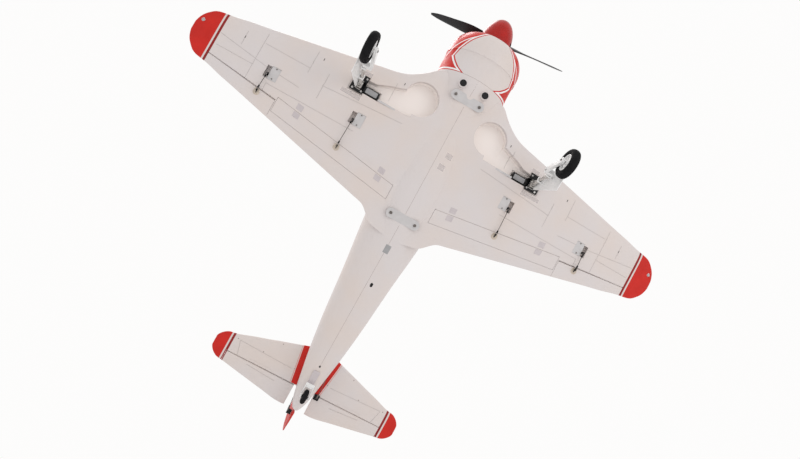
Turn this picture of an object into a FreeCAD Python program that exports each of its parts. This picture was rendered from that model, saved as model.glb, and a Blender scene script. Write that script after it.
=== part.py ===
import FreeCAD, Part
import math
import os
import Sketcher
from FreeCAD import Placement, Rotation, Vector

# Radio-controlled foam aeroplane, low wing, tail-wheel layout, electric retracts, 1.4 m span.
# Axes: +Z up, -Y towards the nose, +X towards the aeroplane's own left (port) side.
# Origin: on the ground plane under the main wheels, midway along the length, on the centre plane.

doc = FreeCAD.newDocument("foam_airplane")
sheet = doc.addObject("Spreadsheet::Sheet", "Sizes")

DRIVING = (
    # airframe datums
    ("thrust_height", 263.0), ("half_span", 704.0),
    # wing planform and section
    ("panel_start", 200.0), ("panel_end", 640.0), ("lead_start", -338.0), ("lead_slope", 0.2),
    ("trail_start", -10.5), ("trail_slope", -0.2386), ("root_flare", 45.0),
    ("root_thick", 52.0), ("tip_thick", 16.0), ("chord_height", 198.4), ("dihedral_slope", 0.0369),
    ("trail_edge", 1.4), ("fillet_start", 66.0), ("fillet_end", 118.0), ("fillet_long", 25.0),
    # control surfaces on the wing
    ("flap_inner", 64.0), ("flap_outer", 429.0), ("aileron_inner", 433.0), ("aileron_outer", 636.0),
    ("surface_gap", 0.7),
    # landing gear
    ("pivot_out", 264.0), ("pivot_back", -255.0), ("pivot_height", 198.0), ("wheel_drop", 158.0),
    ("wheel_lead", 48.0), ("wheel_splay", 12.0), ("tyre_radius", 40.0), ("tyre_width", 22.0),
    ("hub_radius", 23.0), ("axle_radius", 2.0), ("run_gap", 0.05), ("strut_radius", 4.0),
    # nose
    ("cowl_radius", 105.0), ("cowl_front", -556.0), ("cowl_back", -478.0), ("cowl_mouth", 60.0),
    ("cowl_wall", 3.0), ("spinner_radius", 46.0), ("spinner_long", 80.0), ("spinner_base", -560.0),
    ("plate_thick", 3.0), ("prop_plane", -573.5), ("prop_tilt", -17.0), ("can_radius", 25.0),
    ("can_long", 42.0), ("shaft_radius", 3.0), ("foam_wall", 9.0),
    # wing centre fittings
    ("bolt_plate_long", 96.0), ("bolt_plate_wide", 26.0), ("bolt_plate_thick", 2.0),
    ("bolt_spacing", 71.0), ("bolt_radius", 2.5), ("spar_radius", 5.0), ("spar_half", 430.0),
    ("hatch_plate_x", 24.0), ("hatch_plate_y", 36.0), ("hatch_plate_z", 1.6),
    # tail
    ("stab_height", 330.0), ("stab_half", 279.0), ("stab_hinge", 522.0), ("rudder_hinge", 576.0),
    ("tail_wheel_radius", 20.0), ("tail_wheel_width", 12.0), ("tail_wheel_y", 518.0),
    ("tail_pivot_y", 492.0),
)
for row, (alias, value) in enumerate(DRIVING, start=1):
    sheet.set("A%d" % row, alias)
    sheet.set("B%d" % row, "%g" % value)
    sheet.setAlias("B%d" % row, alias)
doc.recompute()


class Size:
    """A number together with the spreadsheet expression that it comes from."""

    def __init__(self, value, text):
        self.value = float(value)
        self.text = text

    def __float__(self):
        return self.value

    def _join(self, other, sign, value, swap=False):
        text = other.text if isinstance(other, Size) else repr(float(other))
        pair = (text, self.text) if swap else (self.text, text)
        return Size(value, "(%s %s %s)" % (pair[0], sign, pair[1]))

    def __add__(self, other):
        return self._join(other, "+", self.value + float(other))

    __radd__ = __add__

    def __sub__(self, other):
        return self._join(other, "-", self.value - float(other))

    def __rsub__(self, other):
        return self._join(other, "-", float(other) - self.value, swap=True)

    def __mul__(self, other):
        return self._join(other, "*", self.value * float(other))

    __rmul__ = __mul__

    def __neg__(self):
        return self * -1.0


def size(alias):
    return Size(sheet.get(alias), "Sizes." + alias)


def num(alias):
    return float(sheet.get(alias))


# ---------------------------------------------------------------- document helpers
SUBPARTS = []


def bind(obj, prop, amount):
    """Set one property, through the spreadsheet where the amount comes from it."""
    if isinstance(amount, Size):
        obj.setExpression(prop, amount.text)
        return
    if "." in prop:
        obj.setExpression(prop, repr(float(amount)))
        return
    setattr(obj, prop, float(amount))


def place(obj, at, turn=None):
    obj.Placement = Placement(Vector(*[float(part) for part in at]), turn or Rotation())
    for axis, amount in zip("xyz", at):
        if isinstance(amount, Size):
            obj.setExpression("Placement.Base." + axis, amount.text)
    return obj


def box(name, sizes, at, turn=None):
    """A block given by its lowest corner."""
    obj = doc.addObject("Part::Box", name)
    for prop, amount in zip(("Length", "Width", "Height"), sizes):
        bind(obj, prop, amount)
    return place(obj, at, turn)


def block(name, sizes, centre, turn=None):
    """A block given by its centre."""
    low = [mid - amount * 0.5 for mid, amount in zip(centre, sizes)]
    return box(name, sizes, low, turn)


DIRECTIONS = {
    "+Z": Rotation(), "-Z": Rotation(Vector(1, 0, 0), 180), "+Y": Rotation(Vector(1, 0, 0), -90),
    "-Y": Rotation(Vector(1, 0, 0), 90), "+X": Rotation(Vector(0, 1, 0), 90), "-X": Rotation(Vector(0, 1, 0), -90),
}


def rod(name, radius, height, at, way="+Z"):
    """A cylinder from a point along a direction."""
    obj = doc.addObject("Part::Cylinder", name)
    bind(obj, "Radius", radius)
    bind(obj, "Height", height)
    return place(obj, at, DIRECTIONS[way])


def ball(name, radii, at, low=-90.0, high=90.0, way="+Z"):
    """An ellipsoid; radii run along its own Z, X and Y."""
    obj = doc.addObject("Part::Ellipsoid", name)
    for prop, amount in zip(("Radius1", "Radius2", "Radius3"), radii):
        bind(obj, prop, amount)
    obj.Angle1 = low
    obj.Angle2 = high
    return place(obj, at, DIRECTIONS[way])


def fuse(name, parts):
    obj = doc.addObject("Part::MultiFuse", name)
    obj.Shapes = parts
    return obj


def cut(name, base, tool):
    obj = doc.addObject("Part::Cut", name)
    obj.Base = base
    obj.Tool = tool
    return obj


def bundle(name, parts):
    """Separate solids kept together as one piece list entry."""
    obj = doc.addObject("Part::Compound", name)
    obj.Links = parts
    return obj


def mirror(name, source):
    obj = doc.addObject("Part::Mirroring", name)
    obj.Source = source
    obj.Normal = Vector(1, 0, 0)
    return obj


def shaped(name, shape):
    """A free-form foam or moulded piece whose shape is worked out below."""
    obj = doc.addObject("Part::Feature", name)
    obj.Shape = shape
    return obj


def keep(obj, label):
    """Name a finished sub-part."""
    obj.Label = label
    SUBPARTS.append(obj)
    return obj


def keep_pair(obj, label):
    """A port piece and its starboard twin."""
    keep(obj, label + "_left")
    keep(mirror(label + "_twin", obj), label + "_right")


def turned(name, profile, at, way="+Y"):
    """A turned piece: a closed profile of (radius, along) pairs revolved about its own Y axis."""
    body = doc.addObject("PartDesign::Body", name)
    sketch = body.newObject("Sketcher::SketchObject", name + "_profile")
    flat = [item for item in body.Origin.OriginFeatures if item.Role == "XY_Plane"][0]
    sketch.AttachmentSupport = [(flat, "")]
    sketch.MapMode = "FlatFace"
    spots = [Vector(float(radius), float(along), 0) for radius, along in profile]
    count = len(spots)
    for index in range(count):
        sketch.addGeometry(Part.LineSegment(spots[index], spots[(index + 1) % count]), False)
    for index in range(count):
        sketch.addConstraint(Sketcher.Constraint("Coincident", index, 2, (index + 1) % count, 1))
    for index, pair in enumerate(profile):
        for kind, amount in zip(("DistanceX", "DistanceY"), pair):
            sketch.addConstraint(Sketcher.Constraint(kind, -1, 1, index, 1, float(amount)))
            if isinstance(amount, Size):
                sketch.setExpression("Constraints[%d]" % (sketch.ConstraintCount - 1), amount.text)
    spin = body.newObject("PartDesign::Revolution", name + "_turned")
    spin.Profile = sketch
    spin.ReferenceAxis = (sketch, ["V_Axis"])
    spin.Angle = 360.0
    doc.recompute()
    body.Tip = spin
    return place(body, at, {"+Y": Rotation(), "+X": Rotation(Vector(0, 0, 1), -90)}[way])


# ---------------------------------------------------------------- shape helpers
def closed_spline(points):
    curve = Part.BSplineCurve()
    curve.interpolate(Points=[Vector(*point) for point in points], PeriodicFlag=True)
    return Part.Wire(curve.toShape())


def loft(wires):
    return Part.makeLoft(wires, True, False)


def slab(points, low, high):
    """A flat outline in X and Y, drawn from one height to another."""
    corners = [Vector(x, y, low) for x, y in points]
    face = Part.Face(Part.makePolygon(corners + corners[:1]))
    return face.extrude(Vector(0, 0, high - low))


def solid_box(low, high):
    return Part.makeBox(high[0] - low[0], high[1] - low[1], high[2] - low[2], Vector(*low))


def cylinder(radius, start, end):
    run = Vector(*end) - Vector(*start)
    return Part.makeCylinder(radius, run.Length, Vector(*start), run)


FOIL_STEPS = (0.0, 0.008, 0.035, 0.1, 0.22, 0.4, 0.6, 0.8, 1.0)


def foil_half(step):
    """Half thickness of a standard section, as a share of its full thickness."""
    curve = 0.2969 * math.sqrt(step) - 0.126 * step - 0.3516 * step ** 2
    return 5.0 * (curve + 0.2843 * step ** 3 - 0.1015 * step ** 4)


def foil_wire(lead, trail, thick, edge, camber, to_space):
    """A closed section from leading to trailing edge; to_space maps (along, across) to a point."""
    chord = trail - lead

    def spot(step, side):
        across = foil_half(step) * thick
        across += step * edge * 0.5
        bow = 4.0 * camber * chord * step * (1.0 - step)
        return to_space(lead + step * chord, bow + side * across)

    over = Part.BSplineCurve()
    over.interpolate([spot(step, 1.0) for step in FOIL_STEPS])
    under = Part.BSplineCurve()
    under.interpolate([spot(step, -1.0) for step in FOIL_STEPS])
    back = Part.LineSegment(spot(1.0, 1.0), spot(1.0, -1.0))
    return Part.Wire([over.toShape(), back.toShape(), under.toShape()])


# ---------------------------------------------------------------- wing form
def lead_edge(out):
    flare = max(0.0, (num("panel_start") - max(out, 100.0)) / 100.0) ** 2
    straight = num("lead_start") + num("lead_slope") * (out - num("panel_start"))
    return straight - num("root_flare") * flare


def trail_edge(out):
    straight = num("trail_start") + num("trail_slope") * (out - num("panel_start"))
    share = (num("fillet_end") - out) / (num("fillet_end") - num("fillet_start"))
    share = min(1.0, max(0.0, share))
    return straight + num("fillet_long") * 0.5 * (1.0 - math.cos(math.pi * share))


def wing_thick(out):
    share = min(1.0, out / num("panel_end"))
    return num("root_thick") + share * (num("tip_thick") - num("root_thick"))


def wing_limits(out):
    """Leading edge, trailing edge and thickness at a distance out from the centre plane."""
    end = num("panel_end")
    if out <= end:
        return lead_edge(out), trail_edge(out), wing_thick(out)
    share = math.sqrt(1.0 - ((out - end) / (num("half_span") - end)) ** 2)
    middle = 0.5 * (lead_edge(end) + trail_edge(end))
    half = 0.5 * (trail_edge(end) - lead_edge(end))
    return middle - half * share, middle + half * share, max(3.0, num("tip_thick") * share)


def chord_height(out):
    return num("chord_height") + num("dihedral_slope") * out


CAMBER = 0.025
# the form runs a little past the centre plane, so that it joins cleanly with the belly
PAST_CENTRE = -20.0
WING_STATIONS = (PAST_CENTRE, 15.0, 45.0, 66.0, 80.0, 92.0, 105.0, 118.0, 135.0, 155.0, 178.0, 200.0, 240.0,
                 300.0, 380.0, 460.0, 540.0, 600.0, 640.0, 662.0, 680.0, 692.0, 699.0, 703.0)


def wing_wire(out):
    lead, trail, thick = wing_limits(out)
    height = chord_height(out)
    return foil_wire(lead, trail, thick, num("trail_edge"), CAMBER,
                     lambda along, across: Vector(out, along, height + across))


def under_height(out, along):
    """Height of the wing's lower surface."""
    lead, trail, thick = wing_limits(out)
    step = (along - lead) / (trail - lead)
    bow = 4.0 * CAMBER * (trail - lead) * step * (1.0 - step)
    return chord_height(out) + bow - foil_half(step) * thick - step * num("trail_edge") * 0.5


def mid_height(out, along):
    lead, trail, thick = wing_limits(out)
    step = (along - lead) / (trail - lead)
    return chord_height(out) + 4.0 * CAMBER * (trail - lead) * step * (1.0 - step)


wing_form = loft([wing_wire(out) for out in WING_STATIONS])

# ---------------------------------------------------------------- fuselage form
# along, half width, lowest, highest, squareness
FUSELAGE_STATIONS = (
    (-478.0, 104.0, 159.0, 367.0, 2.0), (-413.0, 103.0, 159.5, 367.0, 2.05),
    (-376.0, 102.0, 166.0, 366.0, 2.15), (-330.0, 100.0, 180.0, 366.0, 2.4),
    (-248.0, 98.0, 184.0, 364.0, 2.6), (-128.0, 95.0, 185.0, 359.0, 2.6),
    (-28.0, 91.0, 188.0, 354.0, 2.4), (55.0, 84.0, 196.0, 350.0, 2.2),
    (172.0, 70.5, 212.0, 346.0, 2.05), (292.0, 59.0, 229.0, 345.0, 2.0),
    (412.0, 44.0, 248.0, 342.0, 2.0), (512.0, 27.0, 261.0, 339.0, 2.0),
    (557.0, 16.0, 271.0, 334.0, 2.0), (571.0, 9.0, 280.0, 326.0, 2.0),
)


def ring(along, half, low, high, power, shrink=0.0):
    """A rounded-square ring across the fuselage."""
    middle = 0.5 * (low + high)
    points = []
    for step in range(16):
        angle = 2.0 * math.pi * (step + 0.5) / 16.0
        across = math.copysign(abs(math.cos(angle)) ** (2.0 / power), math.cos(angle))
        up = math.copysign(abs(math.sin(angle)) ** (2.0 / power), math.sin(angle))
        points.append(((half - shrink) * across, along, middle + (0.5 * (high - low) - shrink) * up))
    return closed_spline(points)


fuselage_form = loft([ring(*station) for station in FUSELAGE_STATIONS])
wall = num("foam_wall")
inner_stations = [station for station in FUSELAGE_STATIONS if station[0] < 500.0]
cavity_form = loft([ring(*station, shrink=wall) for station in inner_stations])

# the belly between the wing's front and rear seams belongs to the wing
SEAM_FRONT = -413.0
SEAM_BACK = 55.0
SADDLE = 214.0
belly_zone = solid_box((-120.0, SEAM_FRONT, 140.0), (120.0, SEAM_BACK, SADDLE))
belly_form = fuselage_form.common(belly_zone)

# ---------------------------------------------------------------- control surface outlines
FLAP_HINGE = ((num("flap_inner"), -69.0), (num("flap_outer"), -124.3))
AILERON_HINGE = ((num("aileron_inner"), -116.0), (num("aileron_outer"), -139.5))
gap = num("surface_gap")


def hinge_zone(ends, heights, section):
    """A section in Y and Z, carried along a hinge line."""
    (start_x, start_y), (end_x, end_y) = ends
    corners = [Vector(start_x, start_y + along, heights[0] + up) for along, up in section]
    face = Part.Face(Part.makePolygon(corners + corners[:1]))
    return face.extrude(Vector(end_x - start_x, end_y - start_y, heights[1] - heights[0]))


def open_zone(ends, heights, clear, section):
    """Room along a hinge line, a little wider than the surface that fills it."""
    (start_x, start_y), (end_x, end_y) = ends
    slope = (end_y - start_y) / (end_x - start_x)
    wide = ((start_x - clear, start_y - clear * slope), (end_x + clear, end_y + clear * slope))
    return hinge_zone(wide, heights, section)


flap_heights = [under_height(out, along) for out, along in FLAP_HINGE]
aileron_heights = [mid_height(out, along) for out, along in AILERON_HINGE]
SWING = math.tan(math.radians(28.0))

# the flap is a shallow panel let into the wing's lower surface; the trailing edge behind it is fixed
FLAP_DEEP = 39.5
FLAP_RISE = (6.0, 5.1)
flap_section = ((0.4, -60.0), (0.4, FLAP_RISE[0]), (FLAP_DEEP, FLAP_RISE[1]), (FLAP_DEEP, -60.0))
flap_recess = ((-gap, -60.0), (-gap, FLAP_RISE[0] + 0.5), (FLAP_DEEP + gap, FLAP_RISE[1] + 0.5), (FLAP_DEEP + gap, -60.0))
all_behind = ((-gap, -60.0), (-gap, 60.0), (220.0, 60.0), (220.0, -60.0))
vee_front = ((0.0, 0.0), (40.0 * SWING, 40.0), (220.0, 40.0), (220.0, -40.0), (40.0 * SWING, -40.0))
flap_form = wing_form.common(hinge_zone(FLAP_HINGE, flap_heights, flap_section))
aileron_form = wing_form.common(hinge_zone(AILERON_HINGE, aileron_heights, vee_front))

# ---------------------------------------------------------------- landing gear geometry
PIVOT = Vector(num("pivot_out"), num("pivot_back"), num("pivot_height"))
DOWN = Vector(num("wheel_splay"), -num("wheel_lead"), -num("wheel_drop"))
LEG = DOWN.Length
FOLD = 94.5
leg_turn = Rotation(Vector(0, 0, -1), DOWN)
leg_place = Placement(PIVOT, leg_turn)
fold_turn = Placement(Vector(), Rotation(Vector(0, 1, 0), FOLD), PIVOT)


def door_face(grow):
    """The leg door's outline across the leg, in the leg's own frame."""
    outline = ((-4.0 - grow, -8.0 + grow), (14.0 + grow, -6.0 + grow), (57.0 + grow, -128.0 - grow),
               (-40.0 - grow, -168.0 - grow))
    corners = [Vector(0, along, up) for along, up in outline]
    return Part.Face(Part.makePolygon(corners + corners[:1]))


def door_form(grow, inner, outer):
    """The door plate: it leans away from the strut towards the wheel."""
    plate = door_face(grow).extrude(Vector(outer - inner, 0, 0))
    plate.Placement = Placement(Vector(inner, 0, 0), Rotation(Vector(0, 1, 0), -3.6))
    return Part.Solid(plate.transformGeometry(FreeCAD.Matrix()).Solids[0])


def on_leg(shape):
    moved = shape.copy()
    moved.Placement = leg_place.multiply(moved.Placement)
    return moved


# wheel well: a round pocket, a tapered channel for the leg and a seat for the unit's plate
stowed = fold_turn.multVec(PIVOT + DOWN)
well_round = cylinder(num("tyre_radius") + 6.5, (stowed.x, stowed.y, 120.0), (stowed.x, stowed.y, 221.5))
well_channel = slab(((272.0, -244.0), (272.0, -276.0), (225.0, -279.0), (195.0, -292.0), (146.0, -308.5),
                     (stowed.x, stowed.y), (stowed.x + 6.0, -246.0)), 120.0, 219.5)
plate_seat = solid_box((246.5, -285.0, 120.0), (285.5, -233.0, 199.5))
unit_bay = solid_box((203.5, -270.0, 120.0), (285.0, -240.0, 223.0))
door_sweep = on_leg(door_form(2.0, 2.0, 9.5))
door_sweep.Placement = fold_turn.multiply(door_sweep.Placement)
well = well_round.fuse([well_channel, plate_seat, unit_bay, door_sweep])

# ---------------------------------------------------------------- wing panels
BAYS = (("aileron", 466.0, -171.0), ("flap", 221.0, -173.7))
ARM_STEP = 18.5


def servo_cavity(out, along):
    """Pocket for one servo, the rebate for its cover and the slot for its arm."""
    low = under_height(out, along)
    half_x = 0.5 * num("hatch_plate_x")
    half_y = 0.5 * num("hatch_plate_y")
    pocket = solid_box((out - 11.0, along - 13.0, low - 10.0), (out + 11.0, along + 13.0, low + 14.0))
    rebate = solid_box((out - half_x - 0.2, along - half_y - 0.2, low - 10.0),
                       (out + half_x + 0.2, along + half_y + 0.2, low + num("hatch_plate_z")))
    slot = solid_box((out + 11.0, along - 15.0, low - 10.0), (out + 25.0, along + 17.0, low + 14.0))
    return pocket.fuse([rebate, slot])


SPAR_ENDS = ((0.0, -222.0, 205.0), (num("spar_half"), -222.0, 219.5))
spar_bore = cylinder(num("spar_radius"), *SPAR_ENDS)
port_boss = cylinder(12.0, (33.0, -388.0, 161.0), (33.0, -388.0, 200.0))
half_belly = belly_form.common(solid_box((-5.0, -420.0, 140.0), (120.0, 60.0, SADDLE)))
panel = wing_form.fuse([half_belly, port_boss])
panel = panel.common(solid_box((0.0, -700.0, 100.0), (720.0, 300.0, 300.0)))
panel = panel.cut([open_zone(FLAP_HINGE, flap_heights, gap, flap_recess),
                   open_zone(AILERON_HINGE, aileron_heights, gap, all_behind)])
panel = panel.cut([well, spar_bore] + [servo_cavity(out, along) for _, out, along in BAYS])
bolt_bores = [cylinder(num("bolt_radius"), (0.5 * num("bolt_spacing"), along, 150.0),
                       (0.5 * num("bolt_spacing"), along, 240.0)) for along in (-357.0, -4.0)]
panel = panel.cut(bolt_bores)

keep_pair(shaped("flap_port", flap_form.Solids[0]), "flap")
keep_pair(shaped("aileron_port", aileron_form.Solids[0]), "aileron")

# ---------------------------------------------------------------- tail forms
STAB_STATIONS = (0.0, 30.0, 60.0, 95.0, 130.0, 165.0, 200.0, 236.0, 250.0, 262.0, 271.0, 277.0)


def stab_limits(out):
    share = 1.0
    if out > 236.0:
        share = math.sqrt(1.0 - ((out - 236.0) / (num("stab_half") + 0.5 - 236.0)) ** 2)
    station = min(out, 236.0)
    lead = 399.5 + 0.308 * station
    trail = 582.0 - 0.172 * max(0.0, station - 60.0)
    middle = 0.5 * (lead + trail)
    half = 0.5 * (trail - lead) * share
    return middle - half, middle + half, max(2.0, (17.0 - 0.03 * station) * share)


def stab_wire(out):
    lead, trail, thick = stab_limits(abs(out))
    return foil_wire(lead, trail, thick, 1.4, 0.0,
                     lambda along, across: Vector(out, along, num("stab_height") + across))


stab_half_form = loft([stab_wire(out) for out in STAB_STATIONS])
stab_form = stab_half_form.fuse(stab_half_form.mirror(Vector(), Vector(1, 0, 0))).removeSplitter()
hinge_y = num("stab_hinge")
hinge_z = num("stab_height")
elevator_line = ((31.0, hinge_y), (236.0, hinge_y))
elevator_form = stab_half_form.common(hinge_zone(elevator_line, (hinge_z, hinge_z), vee_front))
joiner_bore = cylinder(1.5, (-52.0, hinge_y, hinge_z), (52.0, hinge_y, hinge_z))
joiner_room = cylinder(2.6, (-60.0, hinge_y, hinge_z), (60.0, hinge_y, hinge_z))
elevator_zone = solid_box((-236.0 - gap, hinge_y - gap, 280.0), (236.0 + gap, 620.0, 380.0))
tailplane = stab_form.cut([elevator_zone, joiner_room])
keep(shaped("tailplane_form", tailplane.Solids[0]), "tailplane")
keep_pair(shaped("elevator_port", elevator_form.cut(joiner_bore).Solids[0]), "elevator")

# height, leading edge, trailing edge, thickness
FIN_STATIONS = (
    (290.0, 500.0, 619.0, 8.0), (300.0, 470.0, 634.0, 10.0), (316.0, 430.0, 640.0, 13.0), (345.0, 424.0, 640.0, 13.5),
    (385.0, 458.0, 636.0, 12.0), (425.0, 494.0, 627.0, 10.0), (450.0, 520.0, 612.0, 8.0), (462.0, 542.0, 594.0, 5.0),
    (466.0, 556.0, 582.0, 2.5),
)
tail_form = loft([foil_wire(lead, trail, thick, 1.4, 0.0,
                            lambda along, across, height=height: Vector(across, along, height))
                  for height, lead, trail, thick in FIN_STATIONS])
rudder_y = num("rudder_hinge")
rudder_section = ((0.0, rudder_y), (12.0, rudder_y + 18.0), (12.0, 660.0), (-12.0, 660.0), (-12.0, rudder_y + 18.0))
rudder_form = tail_form.common(slab(rudder_section, 270.0, 480.0))
fin_form = tail_form.common(solid_box((-20.0, 400.0, 312.0), (20.0, rudder_y - gap, 480.0)))

# ---------------------------------------------------------------- fuselage shells and hatch
HATCH_FRONT = -390.0
HATCH_BACK = -72.0
HATCH_HALF = 62.0
HATCH_LOW = 322.0
hatch_zone = solid_box((-HATCH_HALF, HATCH_FRONT, HATCH_LOW), (HATCH_HALF, HATCH_BACK, 400.0))
hatch_gap = solid_box((-HATCH_HALF - 0.4, HATCH_FRONT - 0.4, HATCH_LOW - 0.4), (HATCH_HALF + 0.4, HATCH_BACK + 0.4, 400.0))
cavity = cavity_form.common(solid_box((-120.0, -452.0, 100.0), (120.0, 400.0, 400.0)))
port_zone = solid_box((0.0, -500.0, 100.0), (130.0, 700.0, 500.0))
mount_bore = cylinder(52.0, (0.0, -480.0, num("thrust_height")), (0.0, -440.0, num("thrust_height")))
shell = fuselage_form.fuse(fin_form).common(port_zone)
for tool in (cavity, belly_zone, hatch_gap, wing_form, stab_half_form, joiner_room, mount_bore):
    shell = shell.cut(tool)
shell = max(shell.Solids, key=lambda solid: solid.Volume)
keep_pair(shaped("fuselage_port", shell), "fuselage")

cockpit_hole = solid_box((-34.0, -262.0, 300.0), (34.0, -112.0, 400.0))
hatch = fuselage_form.cut(cavity).common(hatch_zone).cut(cockpit_hole)
keep(shaped("hatch_shell", max(hatch.Solids, key=lambda solid: solid.Volume)), "canopy_hatch")

# half width and top of the glazing at stations along the cockpit
CANOPY_STATIONS = ((-285.0, 10.0, 366.0), (-262.0, 27.0, 384.0), (-215.0, 37.0, 402.0), (-160.0, 38.0, 405.0),
                   (-110.0, 31.0, 392.0), (-78.0, 14.0, 370.0))


def canopy_ring(along, half, top, shrink):
    foot = 354.0
    rise = top - foot - shrink
    points = [(half - shrink, along, foot)]
    for step in range(1, 8):
        angle = math.pi * step / 8.0
        points.append(((half - shrink) * math.cos(angle), along, foot + rise * math.sin(angle)))
    points.append((shrink - half, along, foot))
    curve = Part.BSplineCurve()
    curve.interpolate([Vector(*point) for point in points])
    base = Part.LineSegment(Vector(*points[-1]), Vector(*points[0]))
    return Part.Wire([curve.toShape(), base.toShape()])


glazing = loft([canopy_ring(along, half, top, 0.0) for along, half, top in CANOPY_STATIONS])
glazing_inside = loft([canopy_ring(along, half, top, 1.2) for along, half, top in CANOPY_STATIONS])
glazing = glazing.cut([glazing_inside, fuselage_form])
keep(shaped("glazing", max(glazing.Solids, key=lambda solid: solid.Volume)), "canopy_glass")

tub_outer = box("tub_outer", (67.6, 149.6, 40.0), (-33.8, -261.8, 316.0))
tub_inner = box("tub_inner", (64.0, 146.0, 40.0), (-32.0, -260.0, 318.0))
tub_shell = cut("tub_shell", tub_outer, tub_inner)
seat_pan = box("seat_pan", (30.0, 30.0, 10.0), (-15.0, -178.0, 318.0))
seat_back = box("seat_back", (30.0, 5.0, 34.0), (-15.0, -148.0, 318.0))
panel_board = box("panel_board", (64.0, 3.0, 30.0), (-32.0, -232.0, 318.0))
keep(fuse("tub_whole", [tub_shell, seat_pan, seat_back, panel_board]), "cockpit_tub")

# ---------------------------------------------------------------- nose
axis_z = size("thrust_height")
cowl_r = size("cowl_radius")
cowl_wall = size("cowl_wall")
cowl_front = size("cowl_front")
cowl_back = size("cowl_back")
mouth = size("cowl_mouth")
LIP_DEEP = 58.0
LIP_STEPS = 10
LIP_FULLNESS = 1.85


def lip_curve(thick):
    """The rounded nose of the cowl, from its straight side in to the mouth."""
    points = []
    for step in range(LIP_STEPS + 1):
        angle = 0.5 * math.pi * step / LIP_STEPS
        inward = max(0.0, math.cos(angle)) ** (2.0 / LIP_FULLNESS)
        forward = math.sin(angle) ** (2.0 / LIP_FULLNESS)
        points.append((mouth + (cowl_r - mouth - thick) * inward,
                       cowl_front + (LIP_DEEP - (LIP_DEEP - float(thick)) * forward)))
    return points


outer_lip = lip_curve(0.0)
inner_lip = lip_curve(num("cowl_wall"))
cowl_profile = [(cowl_r, cowl_back)] + outer_lip + inner_lip[::-1] + [(cowl_r - cowl_wall, cowl_back)]
cowl_skin = turned("cowl_skin", cowl_profile, (0.0, 0.0, axis_z))
keep(cowl_skin, "nose_cowl")

spin_r = size("spinner_radius")
spin_long = size("spinner_long")
spin_base = size("spinner_base")
spinner_out = ball("spinner_out", (spin_long, spin_r, spin_r), (0.0, spin_base, axis_z), low=0.0, way="-Y")
spinner_in = ball("spinner_in", (spin_long - 1.8, spin_r - 1.8, spin_r - 1.8), (0.0, spin_base, axis_z), low=0.0, way="-Y")
tilt = Rotation(Vector(0, 1, 0), -num("prop_tilt"))
blade_slot = block("blade_slot", (120.0, 24.0, 26.0), (0.0, 0.0, 0.0))
blade_slot.Placement = Placement(Vector(0.0, num("prop_plane") + 2.0, num("thrust_height")), tilt).multiply(
    Placement(Vector(-60.0, -12.0, -13.0), Rotation()))
keep(cut("spinner_dome", cut("spinner_hollow", spinner_out, spinner_in), blade_slot), "spinner")
back_disc = rod("back_disc", spin_r - 2.2, size("plate_thick"), (0.0, spin_base - size("plate_thick"), axis_z), "+Y")
back_hole = rod("back_hole", size("shaft_radius"), 20.0, (0.0, spin_base - 10.0, axis_z), "+Y")
keep(cut("back_plate", back_disc, back_hole), "spinner_backplate")


def blade_wire(out, chord, thick, pitch):
    """One blade section, leading edge forward and turned by its pitch."""
    turn = -math.radians(pitch)

    def spot(along, across):
        flat = (along - 0.4) * chord
        return Vector(out, flat * math.sin(turn) + across * math.cos(turn),
                      flat * math.cos(turn) - across * math.sin(turn))
    return foil_wire(0.0, 1.0, thick, 0.5, 0.0, spot)


BLADE_STATIONS = ((6.0, 14.0, 9.0, 60.0), (24.0, 19.0, 7.0, 50.0), (60.0, 30.0, 5.0, 36.0), (105.0, 33.0, 3.6, 25.0),
                  (150.0, 27.0, 2.6, 19.0), (188.0, 17.0, 1.9, 16.0), (203.0, 7.0, 1.3, 15.0))
blade = loft([blade_wire(*station) for station in BLADE_STATIONS])
twin_blade = blade.copy()
twin_blade.rotate(Vector(), Vector(0, 1, 0), 180.0)
hub_front = -6.0
hub_back = num("spinner_base") - num("plate_thick") - num("prop_plane")
prop_hub = Part.makeCylinder(10.0, hub_back - hub_front, Vector(0, hub_front, 0), Vector(0, 1, 0))
prop_bore = Part.makeCylinder(num("shaft_radius"), 30.0, Vector(0, -15, 0), Vector(0, 1, 0))
airscrew = prop_hub.fuse([blade, twin_blade]).cut(prop_bore)
airscrew_part = shaped("airscrew", airscrew.Solids[0])
airscrew_part.Placement = Placement(Vector(0.0, num("prop_plane"), num("thrust_height")), tilt)
keep(airscrew_part, "propeller")

shaft_r = size("shaft_radius")
nut_body = doc.addObject("Part::Prism", "nut_hex")
nut_body.Polygon = 6
nut_body.Circumradius = 7.0
nut_body.Height = 8.0
prop_plane = size("prop_plane")
place(nut_body, (0.0, prop_plane + hub_front, axis_z), DIRECTIONS["-Y"])
nut_hole = rod("nut_hole", shaft_r, 20.0, (0.0, prop_plane - 20.0, axis_z), "+Y")
keep(cut("prop_nut", nut_body, nut_hole), "propeller_nut")

can_r = size("can_radius")
can_long = size("can_long")
keep(turned("rotor", (
    (0.0, -38.0), (shaft_r, -38.0), (shaft_r, -8.0), (8.0, -8.0), (8.0, 0.0), (10.0, 0.0), (can_r, 6.0), (can_r, can_long),
    (can_r - 3.0, can_long), (can_r - 3.0, 8.0), (shaft_r, 8.0), (shaft_r, 34.0), (0.0, 34.0),
), (0.0, -552.0, axis_z)), "motor_can")
keep(turned("stator", (
    (shaft_r + 0.1, 12.0), (can_r - 4.0, 12.0), (can_r - 4.0, can_long - 4.0), (10.0, can_long - 4.0),
    (10.0, can_long + 2.0), (can_r - 2.0, can_long + 2.0), (can_r - 2.0, can_long + 6.0),
    (shaft_r + 0.1, can_long + 6.0),
), (0.0, -552.0, axis_z)), "motor_stator")

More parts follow.
